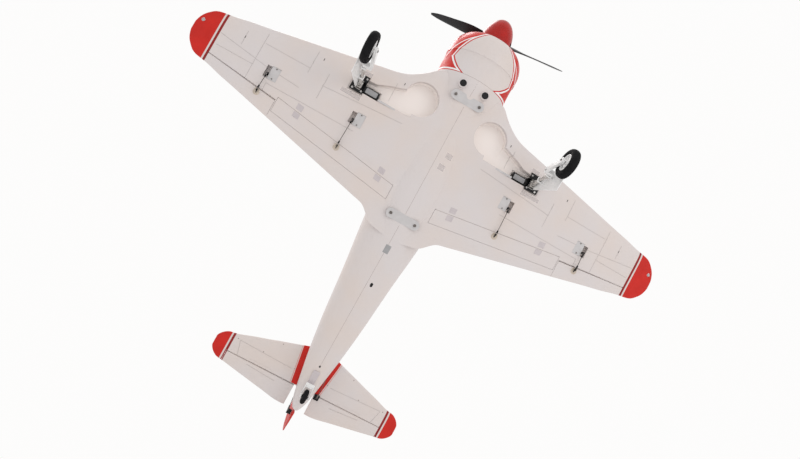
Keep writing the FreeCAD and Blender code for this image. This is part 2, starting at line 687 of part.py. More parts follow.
firewall = block("firewall", (86.0, 4.0, 86.0), (0.0, -450.0, axis_z))
face_plate = block("face_plate", (54.0, 4.0, 54.0), (0.0, -502.0, axis_z))
spacers = [rod("spacer_%d" % index, 4.0, 49.0, (across * 20.0, -500.0, axis_z + up * 20.0), "+Y")
           for index, (across, up) in enumerate(((1, 1), (1, -1), (-1, 1), (-1, -1)))]
ply_floor = block("ply_floor", (70.0, 192.0, 3.0), (0.0, -352.0, 238.0))
keep(bundle("mount_set", [fuse("mount_frame", [firewall, face_plate] + spacers)]), "motor_mount")
keep(ply_floor, "battery_tray")
keep(block("controller_case", (34.0, 40.0, 14.0), (0.0, -479.0, 231.0)), "speed_controller")
keep(block("receiver_case", (26.0, 45.0, 14.0), (0.0, -215.0, 245.0)), "receiver")

# ---------------------------------------------------------------- wing centre fittings
boss = size("bolt_plate_wide") * 0.5


def both_sides(name, parts):
    """The parts and their mirror images in one bundle."""
    twins = [mirror(part.Name + "_twin", part) for part in parts]
    return bundle(name, parts + twins)


def stadium(name, centre, tilt_angle):
    """A plate with round ends and two bolt holes."""
    half = num("bolt_plate_long") * 0.5 - float(boss)
    thick = size("bolt_plate_thick")
    middle = block(name + "_bar", (half * 2.0, size("bolt_plate_wide"), thick), (0.0, 0.0, 0.0))
    ends = [rod(name + "_end_%d" % index, boss, thick, (side * half, 0.0, thick * -0.5))
            for index, side in enumerate((-1, 1))]
    holes = [rod(name + "_hole_%d" % index, size("bolt_radius"), 12.0, (side * 0.5 * num("bolt_spacing"), 0.0, -6.0))
             for index, side in enumerate((-1, 1))]
    plate = cut(name, fuse(name + "_blank", [middle] + ends), fuse(name + "_holes", holes))
    plate.Placement = Placement(Vector(*centre), Rotation(Vector(1, 0, 0), tilt_angle))
    return plate


PLATES = (("front_plate", (0.0, -357.0, 172.6), 15.0), ("rear_plate", (0.0, -4.0, 189.9), 6.0))
plates = [stadium(*entry) for entry in PLATES]
keep(bundle("bolt_plates", plates), "wing_bolt_plates")

plug = rod("plug", 9.0, 6.0, (33.0, -388.0, 159.5))
keep(both_sides("plug_set", [plug]), "belly_port_plugs")

spar_tube = spar_bore.cut(cylinder(num("spar_radius") - 1.0, *SPAR_ENDS))
keep(shaped("spar_rods", Part.makeCompound([spar_tube, spar_tube.mirror(Vector(), Vector(1, 0, 0))])), "wing_spar")


covers = []
servos = []
screws = []
for kind, out, along in BAYS:
    low = under_height(out, along)
    cover = box(kind + "_cover", (size("hatch_plate_x"), size("hatch_plate_y"), size("hatch_plate_z")), (0, 0, 0))
    cover_low = low + 0.1
    cover.Placement = Placement(Vector(out - 0.5 * num("hatch_plate_x"), along - 0.5 * num("hatch_plate_y"), cover_low), Rotation())
    covers.append(cover)
    case = box(kind + "_servo_case", (21.0, 24.0, 11.0), (out - 10.5, along - 12.0, cover_low + 2.0))
    spigot = rod(kind + "_servo_output", 2.4, 2.0, (out + 10.5, along + 6.0, cover_low + 7.5), "+X")
    servos.append(fuse(kind + "_servo", [case, spigot]))
    for index, step in enumerate((-14.5, 14.0)):
        screws.append(rod("%s_screw_%d" % (kind, index), 1.8, 1.2, (out, along + step, cover_low - 1.2)))
keep(both_sides("cover_set", covers), "servo_hatches")
tail_servos = [box("tail_servo_%d" % index, (12.0, 23.0, 22.0), (out, -40.0, 262.0))
               for index, out in enumerate((-20.0, 8.0))]
keep(bundle("servo_set", [both_sides("wing_servo_set", servos)] + tail_servos), "servos")

bolts = []
for name, centre, angle in PLATES:
    head = rod(name + "_head", 4.0, 2.0, (0, 0, 0))
    shank = rod(name + "_shank", size("bolt_radius"), 22.0, (0, 0, 2.0))
    bolt = fuse(name + "_bolt", [head, shank])
    tilted = Rotation(Vector(1, 0, 0), angle)
    start = Vector(*centre) + tilted.multVec(Vector(0.5 * num("bolt_spacing"), 0.0, -3.1))
    bolt.Placement = Placement(start, tilted)
    bolts.append(bolt)
keep(both_sides("screw_set", screws + bolts), "screws")

# ---------------------------------------------------------------- hinge plates over the flap and aileron hinges
HINGE_PADS = ((368.0, -117.5), (108.0, -77.5))
pads = []
for out, along in HINGE_PADS:
    low = under_height(out, along - 11.0)
    pads.append(box("pad_%d" % int(out), (18.0, 17.0, 0.9), (out - 9.0, along - 19.0, low - 0.1)))
keep(both_sides("pad_set", pads), "hinge_plates")

# ---------------------------------------------------------------- retract units, port side first
pivot_x = size("pivot_out")
pivot_y = size("pivot_back")
pivot_z = size("pivot_height")
plate_blank = box("unit_plate", (37.0, 48.0, 2.5), (248.0, -279.0 - 4.0, 190.6))
plate_gap = box("unit_plate_gap", (27.0, 26.0, 6.0), (247.0, -268.0, 189.0))
cheek_front = box("unit_cheek_front", (30.0, 3.0, 18.0), (249.0, -269.8, 190.6))
cheek_rear = box("unit_cheek_rear", (30.0, 3.0, 18.0), (249.0, -243.2, 190.6))
unit_bridge = box("unit_bridge", (10.0, 29.6, 6.0), (249.0, -269.8, 214.0))
unit_cheek_up_front = box("unit_cheek_up_front", (10.0, 3.0, 14.0), (249.0, -269.8, 206.0))
unit_cheek_up_rear = box("unit_cheek_up_rear", (10.0, 3.0, 14.0), (249.0, -243.2, 206.0))
unit_case = box("unit_case", (44.0, 18.0, 14.0), (206.0, -264.0, 206.0))
unit_pin = rod("unit_pin", size("axle_radius"), 29.0, (pivot_x, -269.5, pivot_z), "+Y")
unit_body = cut("unit_body", fuse("unit_blank", [plate_blank, cheek_front, cheek_rear, unit_bridge, unit_case,
                                                 unit_cheek_up_front, unit_cheek_up_rear]), plate_gap)
unit = fuse("unit", [unit_body, unit_pin])
unit_set = both_sides("unit_set", [unit])
keep(unit_set, "retract_units")
rail = box("rail", (58.0, 5.0, 3.0), (146.0, -245.8, 190.4))
rail_set = both_sides("rail_set", [rail])
keep(rail_set, "gear_well_rails")

# leg: trunnion, strut, half fork and axle, drawn along -Z in the leg's own frame
trunnion = block("trunnion", (13.0, 20.0, 12.0), (0.0, 0.0, 0.0))
strut = rod("strut", size("strut_radius"), 92.0, (0.0, 0.0, -5.0), "-Z")
collar = rod("collar", 6.0, 9.0, (0.0, 0.0, -34.0), "-Z")
lower_collar = rod("lower_collar", 5.5, 12.0, (0.0, 0.0, -78.0), "-Z")
shoulder = box("shoulder", (22.0, 12.0, 8.0), (-18.0, -6.0, -101.0))
fork = box("fork", (4.0, 12.0, LEG - 101.0 + 13.0), (-18.0, -6.0, -LEG - 6.0))
axle_half = num("tyre_width") * 0.5
axle = rod("axle", size("axle_radius"), axle_half + 17.0, (-17.0, 0.0, -LEG), "+X")
leg_solid = fuse("leg_solid", [trunnion, strut, collar, lower_collar, shoulder, fork, axle])
doc.recompute()
leg_shape = leg_solid.Shape.copy()
leg_shape.Placement = leg_place.multiply(leg_shape.Placement)
pin_radius = num("axle_radius") + num("run_gap")
pin_hole = cylinder(pin_radius, (PIVOT.x, PIVOT.y - 40.0, PIVOT.z), (PIVOT.x, PIVOT.y + 40.0, PIVOT.z))
trim_front = solid_box((200.0, PIVOT.y - 45.0, 188.0), (300.0, PIVOT.y - 11.2, 230.0))
trim_rear = solid_box((200.0, PIVOT.y + 11.2, 188.0), (300.0, PIVOT.y + 45.0, 230.0))
leg_cut = leg_shape.cut([pin_hole, trim_front, trim_rear])
keep_pair(shaped("leg_port", leg_cut.Solids[0]), "gear_leg")

half_width = size("tyre_width") * 0.5
hub_r = size("hub_radius")
axle_r = size("axle_radius") + size("run_gap")
wheel_spot = PIVOT + DOWN
wheel_turn = leg_turn.multiply(Rotation(Vector(0, 0, 1), -90))
hub = turned("hub", (
    (axle_r, -9.0), (6.0, -9.0), (6.0, -5.0), (hub_r - 6.0, -4.0), (hub_r - 3.0, -8.5), (hub_r, -8.5),
    (hub_r, 8.5), (hub_r - 3.0, 8.5), (hub_r - 6.0, 4.0), (6.0, 5.0), (6.0, 9.0), (axle_r, 9.0),
), (0.0, 0.0, 0.0))
hub.Placement = Placement(wheel_spot, wheel_turn)
keep_pair(hub, "wheel_hub")
tyre_r = size("tyre_radius")
tyre = turned("tyre", (
    (hub_r, -8.5), (hub_r + 4.0, half_width * -1.0), (tyre_r - 8.0, half_width * -1.0), (tyre_r - 3.0, -8.6),
    (tyre_r - 0.8, -5.0), (tyre_r, 0.0), (tyre_r - 0.8, 5.0), (tyre_r - 3.0, 8.6),
    (tyre_r - 8.0, half_width), (hub_r + 4.0, half_width), (hub_r, 8.5),
), (0.0, 0.0, 0.0))
tyre.Placement = Placement(wheel_spot, wheel_turn)
keep_pair(tyre, "tyre")
door = on_leg(door_form(0.0, 5.0, 6.8))
keep_pair(shaped("door_port", door.Solids[0] if door.ShapeType != "Solid" else door), "gear_door")

# ---------------------------------------------------------------- horns, servo arms and pushrods
RODS = (
    ("aileron", 466.0 + ARM_STEP, -163.0, -112.0),
    ("flap", 221.0 + ARM_STEP, -165.7, -86.0),
)
ROD_DROP = 9.0
LINKS = {}
for kind, out, arm_y, horn_y in RODS:
    arm_low = under_height(out, arm_y)
    horn_low = under_height(out, horn_y)
    arm_z = arm_low + 9.0
    arm_tip = arm_low - ROD_DROP
    arm_hub = rod(kind + "_arm_hub", 3.5, 3.0, (out - 5.6, arm_y - 2.0, arm_z - 1.3), "+X")
    arm_blade = box(kind + "_arm_blade", (2.0, 4.0, arm_z - arm_tip + 1.5), (out - 4.8, arm_y - 4.0, arm_tip - 3.0))
    keep_pair(fuse(kind + "_arm", [arm_hub, arm_blade]), kind + "_servo_arm")
    horn_base = box(kind + "_horn_base", (14.0, 14.0, 1.2), (out - 7.0, horn_y - 5.0, horn_low - 1.0))
    horn_fin = box(kind + "_horn_fin", (1.6, 6.0, ROD_DROP + 2.5), (out - 1.5, horn_y - 3.0, horn_low - ROD_DROP - 3.0))
    keep_pair(fuse(kind + "_horn", [horn_base, horn_fin]), kind + "_horn")
    finish = (out + 2.2, horn_y - 4.5, horn_low - ROD_DROP)
    wire = cylinder(0.9, (out + 2.2, arm_y - 2.0, arm_tip), finish)
    front_clevis = solid_box((out - 2.2, arm_y - 5.0, arm_tip - 2.0), (out + 3.6, arm_y + 8.0, arm_tip + 2.0))
    clevis_low = (out + 1.2, horn_y - 12.0, horn_low - ROD_DROP - 2.0)
    clevis_high = (out + 3.6, horn_y + 2.0, horn_low - ROD_DROP + 2.0)
    rear_clevis = solid_box(clevis_low, clevis_high)
    link = wire.fuse([front_clevis, rear_clevis])
    keep_pair(shaped(kind + "_link", link.Solids[0]), kind + "_pushrod")
    LINKS[kind] = (out, arm_y - 2.0, arm_z - 1.3, arm_tip)

# ---------------------------------------------------------------- elevator joiner, rudder and tail wheel
joiner_bar = rod("joiner_bar", 1.5, 104.0, (-52.0, size("stab_hinge"), size("stab_height")), "+X")
keep(joiner_bar, "elevator_joiner")
keep(shaped("rudder_form", rudder_form.Solids[0]), "rudder")

tail_y = size("tail_wheel_y")
steer_y = size("tail_pivot_y")
BELLY_SLOPE = 7.4
bracket_plate = box("bracket_plate", (18.0, 48.0, 2.0), (0.0, 0.0, 0.0))
bracket_plate.Placement = Placement(Vector(-9.0, 450.0, 250.9), Rotation(Vector(1, 0, 0), BELLY_SLOPE))
bracket_boss = rod("bracket_boss", 5.0, 12.0, (0.0, steer_y, 245.0))
bracket_bore = rod("bracket_bore", size("axle_radius") + size("run_gap"), 30.0, (0.0, steer_y, 240.0))
bracket = cut("bracket", fuse("bracket_blank", [bracket_plate, bracket_boss]), bracket_bore)
keep(bracket, "tail_bracket")
steer_pin = rod("steer_pin", size("axle_radius"), 17.0, (0.0, steer_y, 240.0))
steer_yoke = block("steer_yoke", (24.0, 12.0, 4.0), (0.0, steer_y - 2.0, 242.0))
arm_run = num("tail_wheel_y") - num("tail_pivot_y")
arm_left = box("steer_arm_left", (2.0, arm_run + 8.0, 6.0), (10.0, steer_y, 238.0))
arm_right = box("steer_arm_right", (2.0, arm_run + 8.0, 6.0), (-12.0, steer_y, 238.0))
drop_left = box("steer_drop_left", (2.0, 8.0, 14.0), (10.0, tail_y - 4.0, 228.0))
drop_right = box("steer_drop_right", (2.0, 8.0, 14.0), (-12.0, tail_y - 4.0, 228.0))
tail_axle = rod("tail_axle", 1.5, 24.0, (-12.0, tail_y, 232.0), "+X")
keep(fuse("steer_frame", [steer_pin, steer_yoke, arm_left, arm_right, drop_left, drop_right, tail_axle]), "tailwheel_strut")
tail_half = size("tail_wheel_width") * 0.5
tail_r = size("tail_wheel_radius")
keep(turned("small_wheel", (
    (1.55, tail_half * -1.0 - 2.0), (4.0, tail_half * -1.0 - 2.0), (4.0, tail_half * -1.0), (tail_r - 5.0, tail_half * -1.0),
    (tail_r - 1.2, -3.6), (tail_r, 0.0), (tail_r - 1.2, 3.6), (tail_r - 5.0, tail_half), (4.0, tail_half),
    (4.0, tail_half + 2.0), (1.55, tail_half + 2.0),
), (0.0, tail_y, 232.0), "+X"), "tail_wheel")

# ---------------------------------------------------------------- wing panels, rebated for what is let into them
doc.recompute()
let_in = plates + pads + covers + bolts + [plug, unit, rail]
panel = panel.cut([item.Shape for item in let_in])
keep_pair(shaped("wing_port", max(panel.Solids, key=lambda solid: solid.Volume)), "wing")

# ---------------------------------------------------------------- checks and export
doc.recompute()
for obj in doc.Objects:
    if "Invalid" in obj.State or "Error" in obj.State:
        raise RuntimeError("failed object: " + obj.Name)
os.makedirs("parts", exist_ok=True)
for obj in SUBPARTS:
    if obj.Shape.isNull() or not obj.Shape.isValid():
        raise RuntimeError("bad shape: " + obj.Label)
    obj.Shape.exportStep(os.path.join("parts", obj.Label + ".step"))
print(len(SUBPARTS), "sub-parts")
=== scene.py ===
import math

import bmesh
import bpy
from mathutils import Matrix, Vector
from mathutils.bvhtree import BVHTree


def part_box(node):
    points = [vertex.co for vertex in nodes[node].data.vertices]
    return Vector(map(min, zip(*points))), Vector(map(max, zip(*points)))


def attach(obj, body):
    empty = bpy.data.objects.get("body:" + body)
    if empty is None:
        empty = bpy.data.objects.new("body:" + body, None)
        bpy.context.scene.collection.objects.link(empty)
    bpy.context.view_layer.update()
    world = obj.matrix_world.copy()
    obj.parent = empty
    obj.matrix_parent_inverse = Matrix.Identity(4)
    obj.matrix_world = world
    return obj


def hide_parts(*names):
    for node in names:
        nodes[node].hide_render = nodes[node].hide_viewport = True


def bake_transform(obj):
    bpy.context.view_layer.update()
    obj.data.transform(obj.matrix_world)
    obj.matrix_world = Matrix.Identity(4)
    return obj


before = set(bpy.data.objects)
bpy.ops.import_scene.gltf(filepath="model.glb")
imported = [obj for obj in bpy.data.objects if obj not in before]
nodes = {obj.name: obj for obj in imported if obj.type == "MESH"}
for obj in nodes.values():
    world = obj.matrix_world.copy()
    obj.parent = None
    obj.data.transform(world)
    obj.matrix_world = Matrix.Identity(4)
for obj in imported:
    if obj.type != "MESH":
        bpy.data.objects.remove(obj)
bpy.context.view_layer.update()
MM = 0.001

# ------------------------------------------------------------------ colours (linear)
WHITE_FOAM = (0.70, 0.645, 0.625)
WELL_WHITE = (0.93, 0.87, 0.84)
WHITE_GLOSS = (0.83, 0.83, 0.83)
RED = (0.52, 0.016, 0.010)
DEEP_RED = (0.27, 0.014, 0.013)
BLACK = (0.012, 0.012, 0.014)

# places on the aeroplane, in metres
THRUST_HEIGHT = 0.263
WING_CAP = 0.646
TAIL_CAP = 0.244
WELL_OUT = (0.045, 0.272)
WELL_ALONG = (-0.360, -0.236)


# ------------------------------------------------------------------ node material helper
class Net:
    """Builds one node material, a call per node."""

    def __init__(self, name, **surface):
        self.material = bpy.data.materials.new(name)
        self.material.use_nodes = True
        self.tree = self.material.node_tree
        self.surface = self.tree.nodes["Principled BSDF"]
        for socket, value in surface.items():
            label = socket.replace("_", " ").title().replace("Ior", "IOR")
            self.surface.inputs[label].default_value = value
        self.place = self.node("ShaderNodeTexCoord").outputs["Object"]

    def node(self, kind, **settings):
        made = self.tree.nodes.new(kind)
        for name, value in settings.items():
            setattr(made, name, value)
        return made

    def put(self, socket, value):
        if isinstance(value, bpy.types.NodeSocket):
            self.tree.links.new(value, socket)
            return
        socket.default_value = value

    def math(self, operation, *values, clamp=False):
        made = self.node("ShaderNodeMath", operation=operation, use_clamp=clamp)
        for socket, value in zip(made.inputs, values):
            self.put(socket, value)
        return made.outputs[0]

    def vector(self, operation, *values):
        made = self.node("ShaderNodeVectorMath", operation=operation)
        for socket, value in zip(made.inputs, values):
            self.put(socket, value)
        return made

    def axes(self, vector=None):
        made = self.node("ShaderNodeSeparateXYZ")
        self.put(made.inputs[0], vector or self.place)
        return made.outputs

    def mix(self, share, first, second):
        made = self.node("ShaderNodeMix", data_type="RGBA")
        sockets = (made.inputs[0], made.inputs[6], made.inputs[7])
        for socket, value in zip(sockets, (share, first, second)):
            self.put(socket, value + (1.0,) if isinstance(value, tuple) else value)
        return made.outputs[2]

    def noise(self, scale, detail=3.0, vector=None):
        made = self.node("ShaderNodeTexNoise")
        self.put(made.inputs["Vector"], vector or self.place)
        made.inputs["Scale"].default_value = scale
        made.inputs["Detail"].default_value = detail
        return made.outputs[0]

    def cell_edges(self, scale):
        made = self.node("ShaderNodeTexVoronoi", feature="DISTANCE_TO_EDGE")
        self.put(made.inputs["Vector"], self.place)
        made.inputs["Scale"].default_value = scale
        return made.outputs["Distance"]

    def span(self, value, low, high, to_low=0.0, to_high=1.0):
        made = self.node("ShaderNodeMapRange")
        for socket, amount in zip(made.inputs, (value, low, high, to_low, to_high)):
            self.put(socket, amount)
        return made.outputs[0]

    def both(self, first, second):
        return self.math("MULTIPLY", first, second)

    def either(self, first, second):
        return self.math("MAXIMUM", first, second)

    def above(self, value, edge):
        """1 past an edge, 0 before it, with a soft step a fifth of a millimetre wide."""
        return self.span(value, edge - 0.0001, edge + 0.0001)

    def below(self, value, edge):
        return self.span(value, edge - 0.0001, edge + 0.0001, 1.0, 0.0)

    def segment(self, flat, start, end):
        """Distance in plan from a point to a straight line between two places given in mm."""
        origin = Vector((start[0], start[1], 0.0)) * MM
        run = Vector((end[0] - start[0], end[1] - start[1], 0.0)) * MM
        away = self.vector("SUBTRACT", flat, origin).outputs[0]
        along = self.vector("DOT_PRODUCT", away, run).outputs["Value"]
        share = self.math("MULTIPLY", along, 1.0 / run.length_squared, clamp=True)
        scaled = self.vector("SCALE", run)
        self.put(scaled.inputs["Scale"], share)
        gap = self.vector("SUBTRACT", away, scaled.outputs[0]).outputs[0]
        return self.vector("LENGTH", gap).outputs["Value"]

    def bump(self, *layers):
        """Height layers as (height, strength, depth in metres), the finest last."""
        normal = None
        for height, strength, depth in layers:
            made = self.node("ShaderNodeBump")
            made.inputs["Strength"].default_value = strength
            made.inputs["Distance"].default_value = depth
            self.put(made.inputs["Height"], height)
            if normal:
                self.put(made.inputs["Normal"], normal)
            normal = made.outputs[0]
        self.put(self.surface.inputs["Normal"], normal)

    def colour(self, value):
        self.put(self.surface.inputs["Base Color"], value)

    def rough(self, value):
        self.put(self.surface.inputs["Roughness"], value)


def simple(name, colour, rough, metal=0.0, grain=900.0, spread=0.12, depth=0.00012, **more):
    """A moulded or machined finish: slight colour drift, uneven gloss and fine grain."""
    net = Net(name, metallic=metal, **more)
    drift = net.noise(55.0, 4.0)
    dark = tuple(part * (1.0 - spread) for part in colour)
    light = tuple(min(1.0, part * (1.0 + spread)) for part in colour)
    net.colour(net.mix(net.span(drift, 0.3, 0.7), dark, light))
    net.rough(net.span(net.noise(240.0, 3.0), 0.3, 0.7, rough * 0.82, rough * 1.15))
    net.bump((net.noise(grain, 2.0), 0.35, depth))
    return net.material


# panel lines of one wing half, in mm out from the centre plane and along
WING_LINES = (
    ((526.5, -256), (526.5, -129)), ((394.5, -280), (394.5, -218)), ((344, -241), (344, -171)),
    ((396, -230), (522, -230)), ((528, -167), (629, -167)), ((632, -198), (495, -179)),
    ((223, -141.5), (474, -141.5)), ((346, -206), (120, -221)),
    ((495, -179), (396, -172)), ((180, -308), (180, -262)), ((288, -300), (288, -232)),
    ((575, -236), (575, -198)), ((474, -141.5), (474, -122)),
)
TAIL_LINES = (
    ((216, 482), (205, 520)), ((216, 482), (60, 487)), ((85, 538), (170, 532)),
)


def foam_colour(net, base=WHITE_FOAM):
    """Painted bead foam: faint bead outlines, warm and cool drift, handling marks."""
    drift = net.span(net.noise(7.0, 4.0), 0.35, 0.68)
    warm = tuple(part * shift for part, shift in zip(base, (1.0, 0.965, 0.94)))
    cool = tuple(part * shift for part, shift in zip(base, (0.975, 0.99, 1.02)))
    tone = net.mix(drift, cool, warm)
    beads = net.span(net.cell_edges(330.0), 0.0, 0.16)
    tone = net.mix(net.span(beads, 0.0, 1.0, 0.06, 0.0), tone, (0.48, 0.46, 0.45))
    smudge = net.span(net.noise(26.0, 6.0), 0.60, 0.78, 0.0, 0.14)
    return net.mix(smudge, tone, (0.60, 0.56, 0.53)), beads


def foam_finish(net, beads, grooves=None):
    net.rough(net.span(net.noise(90.0, 3.0), 0.3, 0.7, 0.42, 0.60))
    layers = [(net.noise(14.0, 2.0), 0.25, 0.0006), (beads, 0.22, 0.00012)]
    if grooves:
        layers.insert(0, (grooves, 0.9, 0.0006))
    net.bump(*layers)
    return net.material


def line_mask(net, flat, lines, half=0.00042):
    mask = None
    for start, end in lines:
        near = net.span(net.segment(flat, start, end), half, half * 2.0, 1.0, 0.0)
        mask = near if mask is None else net.either(mask, near)
    return mask


def mirrored_plan(net):
    """The point's place in plan, folded onto the port side."""
    x, y, _ = net.axes()
    made = net.node("ShaderNodeCombineXYZ")
    net.put(made.inputs[0], net.math("ABSOLUTE", x))
    net.put(made.inputs[1], y)
    return made.outputs[0]


def surface_paint(name, cap, lines, root_band=False):
    """White foam with a red tip, a white gap and a thin stripe inboard of it."""
    net = Net(name, specular_ior_level=0.25)
    tone, beads = foam_colour(net)
    flat = mirrored_plan(net)
    out, along, _ = net.axes(flat)
    height = net.axes()[2]
    pocket = net.both(net.both(net.above(out, WELL_OUT[0]), net.below(out, WELL_OUT[1])),
                      net.both(net.above(along, WELL_ALONG[0]), net.below(along, WELL_ALONG[1])))
    level = net.math("MULTIPLY_ADD", out, 0.06, 0.1925)
    deep = net.span(net.math("SUBTRACT", height, level), 0.0005, 0.004)
    tone = net.mix(net.both(pocket, deep), tone, WELL_WHITE)
    grooves = line_mask(net, flat, lines)
    # painted shade: the panel line grooves are darkened towards (0.30, 0.27, 0.25) to stand in for the shade
    # inside them
    tone = net.mix(net.both(grooves, 0.30), tone, (0.30, 0.27, 0.25))
    stripe = net.both(net.above(out, cap - 0.0108), net.below(out, cap - 0.0045))
    red = net.mix(net.span(net.noise(30.0, 4.0), 0.3, 0.7), RED, tuple(part * 1.16 for part in RED))
    tone = net.mix(stripe, tone, DEEP_RED)
    tone = net.mix(net.above(out, cap), tone, red)
    if root_band:
        lean = net.math("MULTIPLY_ADD", along, 0.155, out)
        band = net.below(lean, 0.1225)
        edge = net.both(net.above(lean, 0.1245), net.below(lean, 0.1262))
        ahead = net.below(along, 0.5205)
        tone = net.mix(net.both(band, ahead), tone, red)
        tone = net.mix(net.both(edge, ahead), tone, (0.72, 0.30, 0.27))
    net.colour(tone)
    return foam_finish(net, beads, net.math("SUBTRACT", 1.0, grooves))


def nose_paint(name, gloss):
    """White nose with a red field on each side, edged by a white stripe and pointed at the back."""
    net = Net(name, specular_ior_level=0.2, **gloss)
    tone, beads = foam_colour(net)
    x, y, z = net.axes()
    low = net.math("SUBTRACT", THRUST_HEIGHT, z)
    angle = net.math("ARCTAN2", net.math("ABSOLUTE", x), low)
    folded = net.math("MINIMUM", angle, net.math("SUBTRACT", math.pi, angle))
    edge = net.node("ShaderNodeFloatCurve")
    front, back = -0.556, -0.405
    net.put(edge.inputs["Value"], net.span(y, front, back))
    curve = edge.mapping.curves[0]
    # along, degrees up from the keel: the edge of the white belly panel
    edge_points = ((front, 19.0), (-0.540, 23.5), (-0.529, 28.5), (-0.510, 36.7), (-0.487, 45.6),
                   (-0.472, 52.0), (-0.458, 56.0), (-0.443, 48.2), (-0.4265, 37.5), (-0.411, 23.5),
                   (back, 18.0))
    spots = [((along - front) / (back - front), turn / 90.0) for along, turn in edge_points]
    curve.points[0].location = spots[0]
    curve.points[1].location = spots[-1]
    for spot in spots[1:-1]:
        curve.points.new(*spot)
    for point in curve.points:
        point.handle_type = "VECTOR"
    edge.mapping.update()
    limit = net.math("MULTIPLY", edge.outputs[0], math.pi / 2.0)
    arc = net.math("MULTIPLY", net.math("SUBTRACT", folded, limit), 0.105)
    steep = net.span(y, -0.4582, -0.4578, 0.80, 0.62)
    side = net.both(arc, steep)
    rear = net.math("SUBTRACT", net.math("MULTIPLY_ADD", folded, -0.0035, -0.4092), y)
    inside = net.math("MINIMUM", side, rear)
    field = net.above(inside, 0.0)
    stripe = net.both(net.above(inside, 0.0036), net.below(inside, 0.0082))
    ray = net.math("MULTIPLY_ADD", folded, 0.075, -0.5695)
    off = net.math("ABSOLUTE", net.math("SUBTRACT", y, ray))
    chevron = net.both(net.below(off, 0.0022), net.above(inside, 0.0062))
    red = net.mix(net.span(net.noise(30.0, 4.0), 0.3, 0.7), RED, tuple(part * 1.16 for part in RED))
    paint = net.mix(net.either(stripe, chevron), red, WHITE_GLOSS)
    net.colour(net.mix(field, tone, paint))
    if gloss:
        net.rough(net.span(net.noise(60.0, 3.0), 0.3, 0.7, 0.26, 0.36))
        net.bump((net.noise(12.0, 1.0), 0.08, 0.0003))
        return net.material
    return foam_finish(net, beads)


def build_materials():
    """Every finish on the aeroplane, by a short name."""
    made = {}
    made["wing"] = surface_paint("wing_paint", WING_CAP, WING_LINES)
    made["tail"] = surface_paint("tail_paint", TAIL_CAP, TAIL_LINES, root_band=True)
    made["cowl"] = nose_paint("cowl_paint", {"coat_weight": 0.02})
    made["fuselage"] = nose_paint("fuselage_paint", {})
    net = Net("plain_foam")
    tone, beads = foam_colour(net)
    net.colour(tone)
    made["foam"] = foam_finish(net, beads)
    net = Net("red_foam", specular_ior_level=0.2)
    tone, beads = foam_colour(net, RED)
    net.colour(tone)
    made["red_foam"] = foam_finish(net, beads)
    made["red_gloss"] = simple("red_gloss", (0.40, 0.010, 0.007), 0.3,
                               specular_ior_level=0.25, coat_weight=0.06)
    made["black"] = simple("black_plastic", (0.009, 0.009, 0.010), 0.5,
                           spread=0.3, specular_ior_level=0.25)
    made["blade"] = simple("blade_black", BLACK, 0.42, spread=0.3, grain=500.0, specular_ior_level=0.3)
    made["rubber"] = simple("tyre_rubber", (0.007, 0.007, 0.008), 0.8,
                            spread=0.35, grain=700.0, depth=0.0004, specular_ior_level=0.15)
    made["grey"] = simple("grey_plastic", (0.56, 0.545, 0.55), 0.5, spread=0.05)
    made["pad"] = simple("pad_plastic", (0.555, 0.505, 0.52), 0.46, spread=0.05, depth=0.00025)
    made["white"] = simple("white_plastic", WHITE_GLOSS, 0.32, spread=0.03)
    made["steel"] = simple("steel", (0.52, 0.51, 0.50), 0.3, metal=1.0, spread=0.1, grain=2200.0)
    made["dark_steel"] = simple("dark_screw", (0.16, 0.145, 0.135), 0.38, metal=0.9, spread=0.25)
    made["alloy"] = simple("leg_alloy", (0.66, 0.64, 0.62), 0.36, metal=0.85, spread=0.06, grain=1600.0)
    made["motor"] = simple("motor_anodised", (0.10, 0.10, 0.11), 0.32, metal=0.8, spread=0.2)
    made["carbon"] = simple("carbon_tube", (0.02, 0.02, 0.022), 0.3, spread=0.4)
    made["sleeve"] = simple("shrink_sleeve", (0.03, 0.05, 0.12), 0.36, spread=0.2)
    made["tub"] = simple("tub_plastic", (0.10, 0.11, 0.10), 0.6, spread=0.2, grain=500.0)
    made["label"] = simple("blank_label", (0.34, 0.34, 0.35), 0.5, spread=0.1)
    made["tape"] = simple("clear_tape", (0.68, 0.63, 0.63), 0.25, spread=0.03, alpha=0.42)
    made["glue"] = simple("dried_glue", (0.58, 0.50, 0.42), 0.4,
                          spread=0.12, grain=300.0, depth=0.0006)
    # painted shade: this finish darkens the belly seams and the tail dimples
    made["seam_shade"] = simple("seam_shadow", (0.38, 0.32, 0.30), 0.7, spread=0.15)
    # painted shade: this finish darkens the strips laid in the gaps at the control surfaces
    made["gap"] = simple("gap_shadow", (0.40, 0.345, 0.32), 0.7, spread=0.2)
    # painted shade: this near-black finish fills the wing slits
    made["dark"] = simple("slit_shadow", (0.05, 0.045, 0.045), 0.7, spread=0.2)
    made["lens"] = simple("lens", (0.72, 0.73, 0.75), 0.12, spread=0.03, transmission_weight=0.5)
    made["glass"] = simple("canopy_clear", (0.86, 0.92, 0.95), 0.06,
                           spread=0.02, transmission_weight=0.92, ior=1.49)
    net = Net("birch_ply")
    grain = net.vector("MULTIPLY", net.place, (40.0, 4.0, 120.0)).outputs[0]
    veins = net.span(net.noise(6.0, 5.0, grain), 0.3, 0.7)
    net.colour(net.mix(veins, (0.50, 0.34, 0.17), (0.62, 0.46, 0.27)))
    net.rough(0.62)
    made["ply"] = net.material
    return made


finish = build_materials()

